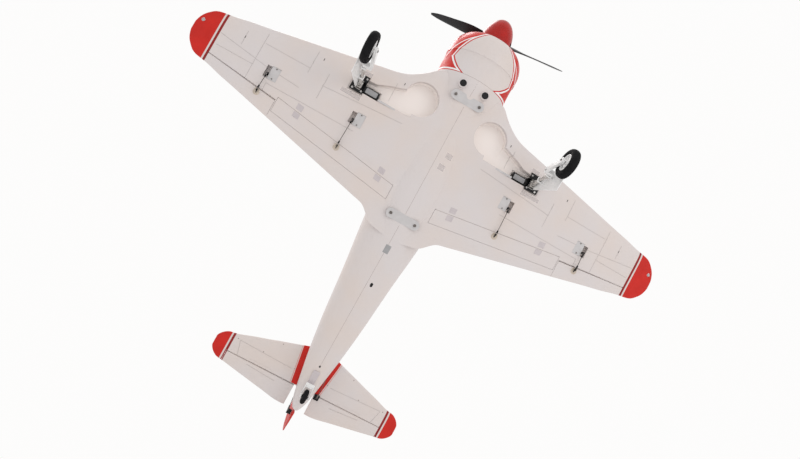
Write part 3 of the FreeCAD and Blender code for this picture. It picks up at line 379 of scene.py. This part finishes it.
NODE_FINISH = {
    "wing": ("wing_left", "wing_right", "flap_left", "flap_right", "aileron_left", "aileron_right"),
    "tail": ("tailplane", "elevator_left", "elevator_right"),
    "cowl": ("nose_cowl",), "fuselage": ("fuselage_left", "fuselage_right"), "foam": ("canopy_hatch",),
    "red_foam": ("rudder",), "red_gloss": ("spinner", "spinner_backplate"), "blade": ("propeller",),
    "motor": ("motor_can",), "dark_steel": ("motor_stator", "screws"), "ply": ("motor_mount", "battery_tray"),
    "sleeve": ("speed_controller",), "grey": ("servo_hatches", "wing_bolt_plates", "gear_well_rails"),
    "pad": ("tail_bracket",), "black": ("retract_units", "servos", "receiver", "belly_port_plugs"),
    "steel": ("propeller_nut", "elevator_joiner"), "alloy": ("gear_leg_left", "gear_leg_right"),
    "white": ("gear_door_left", "gear_door_right", "tailwheel_strut"), "rubber": ("tail_wheel",),
    "carbon": ("wing_spar",), "tub": ("cockpit_tub",), "glass": ("canopy_glass",),
}


def paint(obj, material):
    obj.data.materials.clear()
    obj.data.materials.append(material)


for short_name, members in NODE_FINISH.items():
    for member in members:
        paint(nodes[member], finish[short_name])


# ------------------------------------------------------------------ piece builder, all sizes in mm
class Piece:
    """Collects solid forms and open sheets in one mesh, then hands it over as one named object."""

    def __init__(self, frame_matrix=None):
        self.mesh = bmesh.new()
        self.frame_matrix = frame_matrix or Matrix.Identity(4)

    def add(self, rings, closed_ring=True, caps=True):
        """Skin between rings of points that have the same count."""
        rows = [[self.mesh.verts.new(self.frame_matrix @ Vector(spot)) for spot in ring] for ring in rings]
        count = len(rows[0])
        steps = count if closed_ring else count - 1
        for first, second in zip(rows, rows[1:]):
            for index in range(steps):
                after = (index + 1) % count
                self.mesh.faces.new((first[index], first[after], second[after], second[index]))
        if caps:
            self.mesh.faces.new(rows[0][::-1])
            self.mesh.faces.new(rows[-1])
        return self

    def turned(self, profile, place, axis=(0.0, 0.0, 1.0), steps=36, loop=False):
        """A turned form: (radius, along) pairs about an axis through a place."""
        turn = Vector((0.0, 0.0, 1.0)).rotation_difference(Vector(axis)).to_matrix()
        centre = Vector(place)
        rings = []
        for radius, along in profile + (profile[:1] if loop else ()):
            ring = []
            for step in range(steps):
                angle = 2.0 * math.pi * step / steps
                spot = Vector((radius * math.cos(angle), radius * math.sin(angle), along))
                ring.append(centre + turn @ spot)
            rings.append(ring)
        return self.add(rings, caps=not loop)

    def prism(self, outline, low, high, across="X"):
        """A flat outline carried from one level to another along X, Y or Z."""
        slot = "XYZ".index(across)
        return self.add([[(*spot[:slot], level, *spot[slot:]) for spot in outline] for level in (low, high)])

    def tube(self, spots, radius, steps=12):
        path = [Vector(spot) for spot in spots]
        rings = []
        for index, centre in enumerate(path):
            before = path[max(0, index - 1)]
            after = path[min(len(path) - 1, index + 1)]
            turn = Vector((0.0, 0.0, 1.0)).rotation_difference((after - before).normalized()).to_matrix()
            ring = []
            for step in range(steps):
                angle = 2.0 * math.pi * step / steps
                ring.append(centre + turn @ Vector((radius * math.cos(angle), radius * math.sin(angle), 0.0)))
            rings.append(ring)
        return self.add(rings)

    def patch(self, grid):
        """An open sheet from rows of points."""
        return self.add(grid, closed_ring=False, caps=False)

    def done(self, name, material, body, slot_name, bevel=0.0, replace=()):
        bmesh.ops.remove_doubles(self.mesh, verts=self.mesh.verts, dist=1e-5)
        bmesh.ops.recalc_face_normals(self.mesh, faces=self.mesh.faces)
        bmesh.ops.scale(self.mesh, vec=(MM, MM, MM), verts=self.mesh.verts)
        data = bpy.data.meshes.new(name)
        self.mesh.to_mesh(data)
        self.mesh.free()
        made = bpy.data.objects.new(name, data)
        bpy.context.scene.collection.objects.link(made)
        paint(made, finish[material])
        data.shade_smooth()
        data.set_sharp_from_angle(angle=math.radians(32.0))
        if bevel:
            soften = made.modifiers.new("soften", "BEVEL")
            soften.width = bevel * MM
            soften.segments = 2
            soften.limit_method = "ANGLE"
        if body:
            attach(made, body)
        if replace:
            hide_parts(*replace)
        return made


def rectangle(left, right, front, back):
    """Four corners in turn, beginning at the left front one."""
    return ((left, front), (right, front), (right, back), (left, back))


def rounded(points, radius, steps=4):
    """A flat outline with its corners rounded."""
    outline = []
    count = len(points)
    for index, corner in enumerate(points):
        here = Vector(corner)
        back = (Vector(points[index - 1]) - here).normalized()
        ahead = (Vector(points[(index + 1) % count]) - here).normalized()
        start, end = here + back * radius, here + ahead * radius
        for step in range(steps + 1):
            share = step / steps
            bend = start.lerp(here, share).lerp(here.lerp(end, share), share)
            outline.append((bend.x, bend.y))
    return outline


def ground_tree(names):
    """A search tree over the surfaces of some of the airframe's parts."""
    spots, faces = [], []
    for name in names:
        shell = nodes[name]
        first = len(spots)
        spots += [shell.matrix_world @ vert.co / MM for vert in shell.data.vertices]
        faces += [[first + index for index in face.vertices] for face in shell.data.polygons]
    return BVHTree.FromPolygons(spots, faces)


bpy.context.view_layer.update()
WING_SKIN = ground_tree(NODE_FINISH["wing"])
HULL_SKIN = ground_tree(("wing_left", "wing_right", "fuselage_left", "fuselage_right"))
TAIL_SKIN = ground_tree(NODE_FINISH["tail"])
BELOW_ALL = -50.0
PAST_THE_SKIN = 200.0


def under(tree, x, y):
    """Height of the lowest surface above a place in plan."""
    hit = tree.ray_cast(Vector((x, y, BELOW_ALL)), Vector((0.0, 0.0, 1.0)))
    return hit[0].z if hit[0] else PAST_THE_SKIN


def sheet_grid(tree, corners, proud, steps=(10, 6)):
    """Rows of points over the lower surface between four corners."""
    first, second, third, fourth = [Vector(corner) for corner in corners]
    rows = []
    for row in range(steps[1] + 1):
        share = row / steps[1]
        start, end = first.lerp(fourth, share), second.lerp(third, share)
        line = [start.lerp(end, step / steps[0]) for step in range(steps[0] + 1)]
        rows.append([(spot.x, spot.y, under(tree, spot.x, spot.y) - proud) for spot in line])
    return rows


def oval_rings(tree, centre, radii, proud, steps=20):
    """A small domed oval lying on the lower surface."""
    rings = []
    for share, rise in ((1.0, 0.0), (0.85, 0.6), (0.5, 1.0), (0.08, 1.0)):
        ring = []
        for step in range(steps):
            angle = 2.0 * math.pi * step / steps
            x = centre[0] + radii[0] * share * math.cos(angle)
            y = centre[1] + radii[1] * share * math.sin(angle)
            ring.append((x, y, under(tree, x, y) + 0.15 - proud * rise))
        rings.append(ring)
    return rings


def screw_head(piece, x, y, z, radius, high):
    """A pan head seen from below, with a socket."""
    piece.turned(((radius, 0.0), (radius, -high * 0.5), (radius * 0.78, -high), (radius * 0.42, -high),
                  (radius * 0.36, -high * 0.5), (0.05, -high * 0.5)), (x, y, z), steps=16)


SIDES = ((1.0, "left"), (-1.0, "right"))
# a main leg's pivot, and the way from it to the wheel's centre with the gear down
PIVOT = Vector((264.0, -255.0, 198.0))
DOWN = Vector((12.0, -48.0, -158.0))
LEG_LONG = DOWN.length
LEG_TURN = Vector((0.0, 0.0, -1.0)).rotation_difference(DOWN).to_matrix().to_4x4()


def mirrored(side):
    return Matrix.Diagonal((side, 1.0, 1.0, 1.0))


# ------------------------------------------------------------------ wheels and legs
TYRE_EDGE = ((22.6, 8.3), (24.2, 9.7), (26.6, 10.7), (29.4, 11.0), (32.0, 10.9), (32.7, 10.4), (33.5, 10.7),
             (35.6, 9.8), (37.6, 8.1), (39.0, 5.6), (39.75, 2.9), (39.98, 0.0))
TYRE_LOOP = TYRE_EDGE + tuple((radius, -along) for radius, along in TYRE_EDGE[-2::-1])
RIM_EDGE = ((22.9, 8.3), (21.6, 8.9), (20.4, 8.6), (19.5, 7.2), (18.6, 4.4), (8.2, 3.4), (6.4, 4.6),
            (6.0, 8.4), (5.2, 9.0), (2.4, 9.0))
RIM_LOOP = RIM_EDGE + tuple((radius, -along) for radius, along in RIM_EDGE[::-1])


def build_wheel(side, name):
    place = mirrored(side) @ Matrix.Translation(PIVOT) @ LEG_TURN
    centre = (0.0, 0.0, -LEG_LONG)
    tyre = Piece(place).turned(TYRE_LOOP, centre, (1.0, 0.0, 0.0), 72, loop=True)
    tyre.done("tyre_round_" + name, "rubber", "wheel_" + name, "rubber", replace=("tyre_" + name,))
    hub = Piece(place).turned(RIM_LOOP, centre, (1.0, 0.0, 0.0), 60, loop=True)
    for index in range(6):
        angle = math.radians(60.0 * index)
        spot = (0.0, 13.2 * math.cos(angle), 13.2 * math.sin(angle) - LEG_LONG)
        hub.turned(((2.6, -4.4), (2.6, 4.4), (1.5, 4.7), (1.5, -4.7)), spot, (1.0, 0.0, 0.0), 14, loop=True)
    hub.done("wheel_rim_" + name, "white", "wheel_" + name, "white_plastic", replace=("wheel_hub_" + name,))
    cap = Piece(place).turned(((3.4, 9.4), (3.4, 11.4), (2.6, 12.6), (1.2, 12.6), (1.0, 11.6), (0.05, 11.6)),
                              centre, (1.0, 0.0, 0.0), 20)
    cap.done("axle_cap_" + name, "dark_steel", "gear_" + name, "screw_steel")


def build_leg(side, name):
    place = mirrored(side) @ Matrix.Translation(PIVOT) @ LEG_TURN
    arm = rounded(((-6.4, -94.0), (6.4, -94.0), (7.8, -LEG_LONG - 4.0), (3.6, -LEG_LONG - 8.6),
                   (-3.6, -LEG_LONG - 8.6), (-7.8, -LEG_LONG - 4.0)), 2.4)
    fork = Piece(place).prism(arm, -20.4, -12.6)
    shoulder = ((-20.4, -90.5), (5.0, -90.5), (5.0, -101.5), (-12.6, -101.5), (-20.4, -106.0))
    fork.prism(rounded(shoulder, 2.0), -6.6, 6.6, "Y")
    fork.done("trailing_fork_" + name, "white", "gear_" + name, "leg_metal", bevel=0.7)
    metal = Piece(place).turned(((4.6, -14.0), (5.0, -15.0), (5.0, -27.0), (4.6, -28.0)), (0.0, 0.0, 0.0))
    metal.turned(((4.6, -62.0), (5.2, -63.0), (5.2, -72.0), (4.6, -73.0)), (0.0, 0.0, 0.0))
    metal.prism(rounded(((-4.6, -8.0), (4.6, -8.0), (4.2, -20.0), (-4.2, -20.0)), 1.4), -6.0, 6.0, "Y")
    metal.done("leg_socket_" + name, "alloy", "gear_" + name, "leg_metal", bevel=0.5)
    straps = Piece(place)
    for height in (-40.0, -84.0):
        straps.prism(rounded(rectangle(-6.6, 8.0, height - 3.0, height + 3.0), 1.2), -7.0, 7.0, "Y")
    straps.done("door_straps_" + name, "white", "gear_" + name, "white_plastic", bevel=0.6)
    screws = Piece(place)
    for height, level in ((-21.0, 5.4), (-67.5, 5.0), (-98.0, 6.4)):
        head = ((1.5, level), (1.5, level + 1.2), (0.9, level + 1.5), (0.7, level + 0.9), (0.05, level + 0.9))
        screws.turned(head, (0.0, 0.0, height), (0.0, -1.0, 0.0), 14)
    screws.turned(((3.2, 20.2), (3.2, 21.4), (2.2, 22.2), (1.2, 22.2), (1.0, 21.4), (0.05, 21.4)),
                  (0.0, 0.0, -LEG_LONG), (-1.0, 0.0, 0.0), 18)
    screws.done("leg_screws_" + name, "dark_steel", "gear_" + name, "screw_steel")


def build_retract(side, name):
    place = mirrored(side)
    screws = Piece(place)
    for x, y in ((278.0, -240.0), (253.0, -241.0), (253.0, -277.0), (279.0, -277.0)):
        screw_head(screws, x, y, 190.8, 2.9, 1.5)
    screws.done("retract_screws_" + name, "steel", "airframe", "screw_steel")
    label = Piece(place).prism(rounded(rectangle(211.0, 244.0, -262.0, -248.0), 1.5), 205.7, 206.2, "Z")
    label.done("unit_label_" + name, "label", "airframe", "black_plastic")
    cheeks = Piece(place)
    cheek = rounded(((257.0, 191.2), (271.0, 191.2), (274.0, 201.0), (268.0, 207.0), (258.0, 206.0)), 2.5)
    for low, high in ((-268.6, -266.9), (-243.4, -241.9)):
        cheeks.prism(cheek, low, high, "Y")
    cheeks.done("trunnion_cheeks_" + name, "alloy", "airframe", "steel", bevel=0.3)


# ------------------------------------------------------------------ servo arms, horns and pushrods
# surface moved, distance out, the arm's shaft along and up, the height of its pin, the horn along
LINK_RUNS = (
    ("aileron", 484.5, -165.0, 218.8, 202.1, -112.0), ("flap", 239.5, -167.7, 205.93, 189.23, -86.0),
)
ARM_ROOT = 3.7
ARM_TIP = 2.1
ROD_GRIP = 11.0


def clevis(piece, x, pivot, along):
    """A snap clevis: two cheeks round a pin, and a barrel towards the rod."""
    spot = Vector((x, pivot[0], pivot[1]))
    run = Vector((0.0, along[0], along[1])).normalized()
    across = Vector((0.0, -run.z, run.y))
    side_cut = rounded(((-2.4, -1.6), (8.0, -1.9), (8.0, 1.9), (-2.4, 1.6)), 1.0)
    for low, high in ((-1.9, -1.0), (1.0, 1.9)):
        rings = []
        for level in (low, high):
            rings.append([spot + run * a + across * b + Vector((level, 0.0, 0.0)) for a, b in side_cut])
        piece.add(rings)
    piece.turned(((1.9, 6.6), (2.1, 7.4), (2.1, 12.0), (1.6, 13.6), (1.0, 13.9)), spot, run, 18)
    piece.turned(((0.8, -2.3), (0.8, 2.3)), spot, (1.0, 0.0, 0.0), 12)


def build_link(side, name, kind, out, arm_y, arm_z, tip_z, horn_y):
    place = mirrored(side)
    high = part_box("%s_horn_%s" % (kind, name))[1]
    foot = high.z / MM - 1.3
    hole_y, hole_z = horn_y - 2.0, foot - 7.7
    arm = Piece(place)
    blade = []
    for step in range(9):
        angle = math.pi * step / 8.0
        blade.append((arm_y + ARM_ROOT * math.cos(angle), arm_z + ARM_ROOT * math.sin(angle)))
    for step in range(9):
        angle = math.pi + math.pi * step / 8.0
        blade.append((arm_y + ARM_TIP * math.cos(angle), tip_z - 0.6 + ARM_TIP * math.sin(angle)))
    arm.prism(blade, out - 4.8, out - 3.2)
    arm.turned(((3.9, out - 6.0), (4.1, out - 5.4), (4.1, out - 4.2), (3.4, out - 2.4), (1.4, out - 2.4),
                (1.2, out - 3.2), (0.05, out - 3.2)), (0.0, arm_y, arm_z), (1.0, 0.0, 0.0), 24)
    arm_body = "%s_servo_arm_%s" % (kind, name)
    arm.done("%s_arm_shaped_%s" % (kind, name), "black", arm_body, "black_plastic", 0.3, (arm_body,))
    horn = Piece(place)
    fin = rounded(((horn_y - 6.2, foot + 0.2), (horn_y - 4.6, foot - 7.4), (horn_y - 2.0, foot - 10.2),
                   (horn_y + 0.6, foot - 7.8), (horn_y + 6.0, foot + 0.2)), 0.9)
    horn.prism(fin, out - 1.3, out + 0.3)
    base = rounded(rectangle(out - 7.0, out + 7.0, horn_y - 7.0, horn_y + 7.0), 2.6)
    foundation = Piece(place).prism(base, foot - 0.5, foot + 1.2, "Z")
    foundation.done("%s_horn_base_%s" % (kind, name), "glue", "%s_%s" % (kind, name), "black_plastic", 0.25)
    horn.done("%s_horn_shaped_%s" % (kind, name), "black", "%s_%s" % (kind, name), "black_plastic", 0.25,
              ("%s_horn_%s" % (kind, name),))
    run = (hole_y - arm_y, hole_z - tip_z)
    ends = Piece(place)
    clevis(ends, out - 2.3, (arm_y, tip_z), run)
    clevis(ends, out - 0.5, (hole_y, hole_z), (-run[0], -run[1]))
    ends.done("%s_clevises_%s" % (kind, name), "black", "%s_pushrod_%s" % (kind, name), "black_plastic", 0.2)
    wire = Piece(place)
    share = ROD_GRIP / math.hypot(*run)
    wire.tube(((out - 2.3, arm_y + run[0] * share, tip_z + run[1] * share),
               (out - 1.4, arm_y + run[0] * 0.5, tip_z + run[1] * 0.5),
               (out - 0.5, hole_y - run[0] * share, hole_z - run[1] * share)), 0.95)
    wire.done("%s_wire_%s" % (kind, name), "dark_steel", "%s_pushrod_%s" % (kind, name), "steel", 0.0,
              ("%s_pushrod_%s" % (kind, name),))


# ------------------------------------------------------------------ small fittings on the foam
def gap_shade_strip(piece, tree, start, end, low, high, inset, steps=40):
    """A dark strip of painted shade inside a gap, a little below the surfaces on both sides of it."""
    first, last = Vector(start), Vector(end)
    run = (last - first).normalized()
    across = Vector((-run.y, run.x))
    rows = []
    for step in range(steps + 1):
        spot = first.lerp(last, step / steps)
        near = [spot + across * shift for shift in (low - 1.2, high + 1.2)]
        level = 0.5 * sum(under(tree, side_spot.x, side_spot.y) for side_spot in near) + inset
        edges = (spot + across * low, spot + across * high)
        rows.append([(edge.x, edge.y, level) for edge in edges])
    piece.patch(rows)


def build_gap_shade_strips(side, name):
    place = mirrored(side)
    strips = Piece(place)
    gap_shade_strip(strips, WING_SKIN, (66.0, -69.2), (427.0, -123.9), -0.55, 0.3, 0.3)
    gap_shade_strip(strips, WING_SKIN, (66.0, -29.2), (427.0, -83.9), -0.1, 0.35, 0.3)
    gap_shade_strip(strips, WING_SKIN, (434.5, -116.1), (634.5, -139.3), -0.65, -0.05, 0.3)
    gap_shade_strip(strips, TAIL_SKIN, (32.0, 522.0), (235.0, 522.0), -0.65, -0.05, 0.3)
    strips.done("gap_shade_strips_" + name, "gap", "airframe", "foam_white")


def hinge_pad(piece, x, front, back, lean):
    """A thin square pad over a hinge, following the foam, with a turned-up rim."""
    corners = ((x - 9.0, front + lean), (x + 9.0, front - lean),
               (x + 9.0, back - lean), (x - 9.0, back + lean))
    grid = sheet_grid(WING_SKIN, corners, 0.5)
    rim = [[(a, b, c + 0.75) for a, b, c in row] for row in grid]
    piece.patch(grid).patch([rim[0], grid[0]]).patch([rim[-1], grid[-1]])
    piece.patch([[row[0] for row in rim], [row[0] for row in grid]])
    piece.patch([[row[-1] for row in rim], [row[-1] for row in grid]])


CENTRE_TABS = ((24.0, -171.0), (29.0, -206.0))


def build_fixed_pads():
    pads = Piece()
    for side, _ in SIDES:
        pads.frame_matrix = mirrored(side)
        hinge_pad(pads, 368.0, -136.0, -120.5, 1.3)
        hinge_pad(pads, 108.0, -96.0, -81.0, 1.3)
    pads.done("hinge_pads_fixed", "pad", "airframe", "grey_plastic", replace=("hinge_plates",))
    tabs = Piece()
    for x, y in CENTRE_TABS:
        tabs.patch(sheet_grid(HULL_SKIN, rectangle(x - 9.0, x + 9.0, y - 8.0, y + 8.0), 0.15))
    tabs.done("centre_tabs", "tape", "airframe", "clear_plastic")


def build_wing_marks(side, name):
    place = mirrored(side)
    pads = Piece(place)
    hinge_pad(pads, 368.0, -113.0, -99.0, 1.3)
    hinge_pad(pads, 109.0, -73.5, -59.0, 1.3)
    pads.done("flap_hinge_pads_" + name, "pad", "flap_" + name, "grey_plastic")
    glue = Piece(place).add(oval_rings(WING_SKIN, (239.5, -84.0), (9.5, 9.5), 0.5))
    glue.done("flap_horn_glue_" + name, "glue", "flap_" + name, "foam_white")
    glue = Piece(place).add(oval_rings(WING_SKIN, (484.5, -109.0), (9.5, 8.5), 0.5))
    glue.done("aileron_horn_glue_" + name, "glue", "aileron_" + name, "foam_white")
    tape = Piece(place)
    for corners in (((246.0, -231.0), (301.0, -229.0), (302.0, -219.0), (246.0, -217.0)),
                    ((246.0, -297.0), (268.0, -296.0), (268.0, -287.0), (246.0, -287.0))):
        tape.patch(sheet_grid(WING_SKIN, corners, 0.12))
    tape.done("tape_strips_" + name, "tape", "airframe", "clear_plastic")
    # painted shade: near-black strips laid on the skin stand in for the shade inside the slits in the foam
    slits = Piece(place)
    for x, y, half in ((575.0, -219.0, 3.6), (374.0, -268.0, 3.4), (163.0, -316.0, 3.2)):
        slits.patch(sheet_grid(WING_SKIN, rectangle(x - 1.0, x + 1.0, y - half, y + half), 0.07, (2, 6)))
    slits.done("wing_slit_shade_" + name, "dark", "airframe", "foam_white")
    lens = Piece(place).add(oval_rings(WING_SKIN, (687.0, -206.0), (5.0, 5.0), 1.4))
    lens.done("tip_lamp_" + name, "lens", "airframe", "clear_plastic")
    # painted shade: dark dots stand in for the shade inside the tailplane's dimples
    dots = Piece(place)
    for x, y in ((222.9, 480.8), (50.9, 483.8), (146.7, 481.5), (109.3, 440.0)):
        dots.add(oval_rings(TAIL_SKIN, (x, y), (1.9, 1.9), 0.35, 12))
    dots.done("tail_dimple_shade_" + name, "seam_shade", "airframe", "foam_white")
    strip = Piece(place).patch(sheet_grid(TAIL_SKIN, rectangle(101.0, 168.0, 515.0, 519.5), 0.5, (12, 3)))
    strip.done("stabiliser_strip_" + name, "foam", "airframe", "foam_white")


def build_belly_marks():
    # painted shade: dark sheets laid along the belly seam and across the belly at the nose joint
    seam_shade = Piece()
    seam_shade.patch(sheet_grid(HULL_SKIN, rectangle(-0.35, 0.35, -410.0, 440.0), 0.06, (1, 120)))
    seam_shade.patch(sheet_grid(HULL_SKIN, rectangle(-70.0, 70.0, -413.4, -412.6), 0.06, (60, 1)))
    seam_shade.done("belly_seam_shade", "seam_shade", "airframe", "foam_white")
    vent = Piece().add(oval_rings(HULL_SKIN, (13.0, 184.0), (5.5, 8.5), 0.2))
    vent.add(oval_rings(HULL_SKIN, (0.0, 436.0), (3.4, 4.6), 0.2))
    vent.done("belly_vents", "black", "airframe", "black_plastic")
    sticker = Piece().patch(sheet_grid(HULL_SKIN, rectangle(-5.0, 10.0, 72.0, 95.0), 0.15))
    sticker.done("blank_sticker", "label", "airframe", "grey_plastic")
    bolts = Piece()
    for x, y in ((35.5, -357.0), (-35.5, -357.0), (35.5, -4.0), (-35.5, -4.0)):
        low = under(HULL_SKIN, x + 7.0, y)
        bolts.turned(((4.2, 0.0), (4.2, -1.6), (3.4, -2.6), (2.0, -2.6), (1.8, -1.2), (0.05, -1.2)),
                     (x, y, low - 0.9), steps=20)
    bolts.done("wing_bolt_heads", "dark_steel", "airframe", "screw_steel")


# ------------------------------------------------------------------ tail linkages, spinner and canopy
def build_tail_fittings():
    fin = rounded(((518.0, 324.5), (535.0, 325.5), (527.5, 309.0), (523.5, 309.0)), 1.2)
    horn = Piece().prism(fin, 38.8, 40.4)
    horn.prism(rounded(rectangle(32.0, 47.0, 518.0, 534.0), 2.4), 322.2, 324.4, "Z")
    horn.done("elevator_horn", "black", "elevators", "black_plastic", 0.25)
    rod = Piece().tube(((30.0, 440.0, 300.0), (36.0, 462.0, 305.0), (38.0, 490.0, 309.0),
                        (39.2, 518.0, 311.5)), 0.95)
    rod.tube(((39.2, 514.0, 311.2), (39.6, 527.0, 311.5)), 2.2)
    made = rod.done("elevator_rod", "dark_steel", None, "steel")
    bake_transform(made)
    horn = Piece().prism(rounded(rectangle(579.0, 593.0, 300.5, 304.0), 1.0), -17.0, -5.0)
    horn.done("rudder_horn", "black", "rudder", "black_plastic", 0.25)
    rod = Piece().tube(((-26.0, 470.0, 300.0), (-24.0, 500.0, 301.0), (-19.0, 545.0, 302.0),
                        (-15.5, 578.0, 302.3)), 0.95)
    rod.tube(((-16.2, 571.0, 302.2), (-15.2, 585.0, 302.3)), 2.2)
    made = rod.done("rudder_rod", "dark_steel", None, "steel")
    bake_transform(made)


# each canopy bow: its place along, half its width and its top, above the cockpit's sill
BOWS = ((-262.0, 27.0, 384.0), (-215.0, 37.0, 402.0), (-160.0, 38.0, 405.0), (-110.0, 31.0, 392.0))
SILL = 354.0


def build_nose_and_canopy():
    screw = Piece().turned(((3.4, -3.0), (3.4, -1.0), (2.6, -0.2), (1.6, -0.2), (1.4, -1.2), (0.05, -1.2)),
                           (0.0, -639.6, THRUST_HEIGHT / MM), (0.0, -1.0, 0.0), 20)
    screw.done("spinner_screw", "dark_steel", "airscrew", "steel")
    bows = Piece()
    for along, half, top in BOWS:
        path = []
        for step in range(13):
            angle = math.radians(12.0 + 13.0 * step)
            path.append((half * math.cos(angle), along, SILL + (top - SILL) * math.sin(angle)))
        bows.tube(path, 1.3, 8)
    bows.done("canopy_bows", "tub", "canopy_hatch", "tub_grey")


for side, side_name in SIDES:
    build_wheel(side, side_name)
    build_leg(side, side_name)
    build_retract(side, side_name)
    build_wing_marks(side, side_name)
    for link in LINK_RUNS:
        build_link(side, side_name, *link)
    build_gap_shade_strips(side, side_name)
build_fixed_pads()
build_belly_marks()
build_tail_fittings()
build_nose_and_canopy()

# ------------------------------------------------------------------ studio and camera
CAMERA_PLACE = Vector((-0.1695, 0.1623, -1.3456))
CAMERA_RIGHT = Vector((0.8691, -0.4736, -0.1427))
CAMERA_LOOK = Vector((0.1136, -0.0898, 0.9895))
LENS = 27.0
SENSOR = 36.0
LAMP_AIM = Vector((0.0, -0.05, 0.25))
FLOOR_HEIGHT = -1.95
FLOOR_HALF = 14.0


def build_camera():
    look = CAMERA_LOOK.normalized()
    right = (CAMERA_RIGHT - look * CAMERA_RIGHT.dot(look)).normalized()
    up = right.cross(look)
    data = bpy.data.cameras.new("camera")
    data.lens = LENS
    data.sensor_width = SENSOR
    camera = bpy.data.objects.new("camera", data)
    turn = Matrix((right, up, -look)).transposed()
    camera.matrix_world = Matrix.Translation(CAMERA_PLACE) @ turn.to_4x4()
    bpy.context.scene.collection.objects.link(camera)
    bpy.context.scene.camera = camera


def area_light(name, place, size, power, tint=(1.0, 1.0, 1.0)):
    data = bpy.data.lights.new(name, "AREA")
    data.shape = "DISK"
    data.size = size
    data.energy = power
    data.color = tint
    lamp = bpy.data.objects.new(name, data)
    lamp.location = place
    aim = LAMP_AIM - lamp.location
    lamp.rotation_euler = aim.to_track_quat("-Z", "Y").to_euler()
    bpy.context.scene.collection.objects.link(lamp)


def build_studio():
    world = bpy.data.worlds.new("studio")
    bpy.context.scene.world = world
    world.use_nodes = True
    sky = world.node_tree.nodes["Background"]
    sky.inputs["Color"].default_value = (1.0, 0.995, 0.99, 1.0)
    sky.inputs["Strength"].default_value = 0.98
    mesh = bpy.data.meshes.new("floor")
    edges = rectangle(-FLOOR_HALF, FLOOR_HALF, -FLOOR_HALF, FLOOR_HALF)
    corners = [(x, y, FLOOR_HEIGHT) for x, y in edges]
    mesh.from_pydata(corners, [], [(0, 1, 2, 3)])
    floor = bpy.data.objects.new("floor", mesh)
    bpy.context.scene.collection.objects.link(floor)
    net = Net("floor_paper")
    net.colour(net.mix(net.span(net.noise(1.5, 3.0), 0.3, 0.7), (0.80, 0.79, 0.78), (0.84, 0.83, 0.825)))
    net.rough(0.9)
    paint(floor, net.material)
    area_light("key", Vector((-1.6, -2.2, 2.6)), 2.2, 60.0)
    area_light("under_soft", Vector((1.3, -0.9, -1.6)), 1.6, 7.0, (1.0, 0.985, 0.97))
    bpy.context.scene.view_settings.view_transform = "Standard"


build_camera()
build_studio()
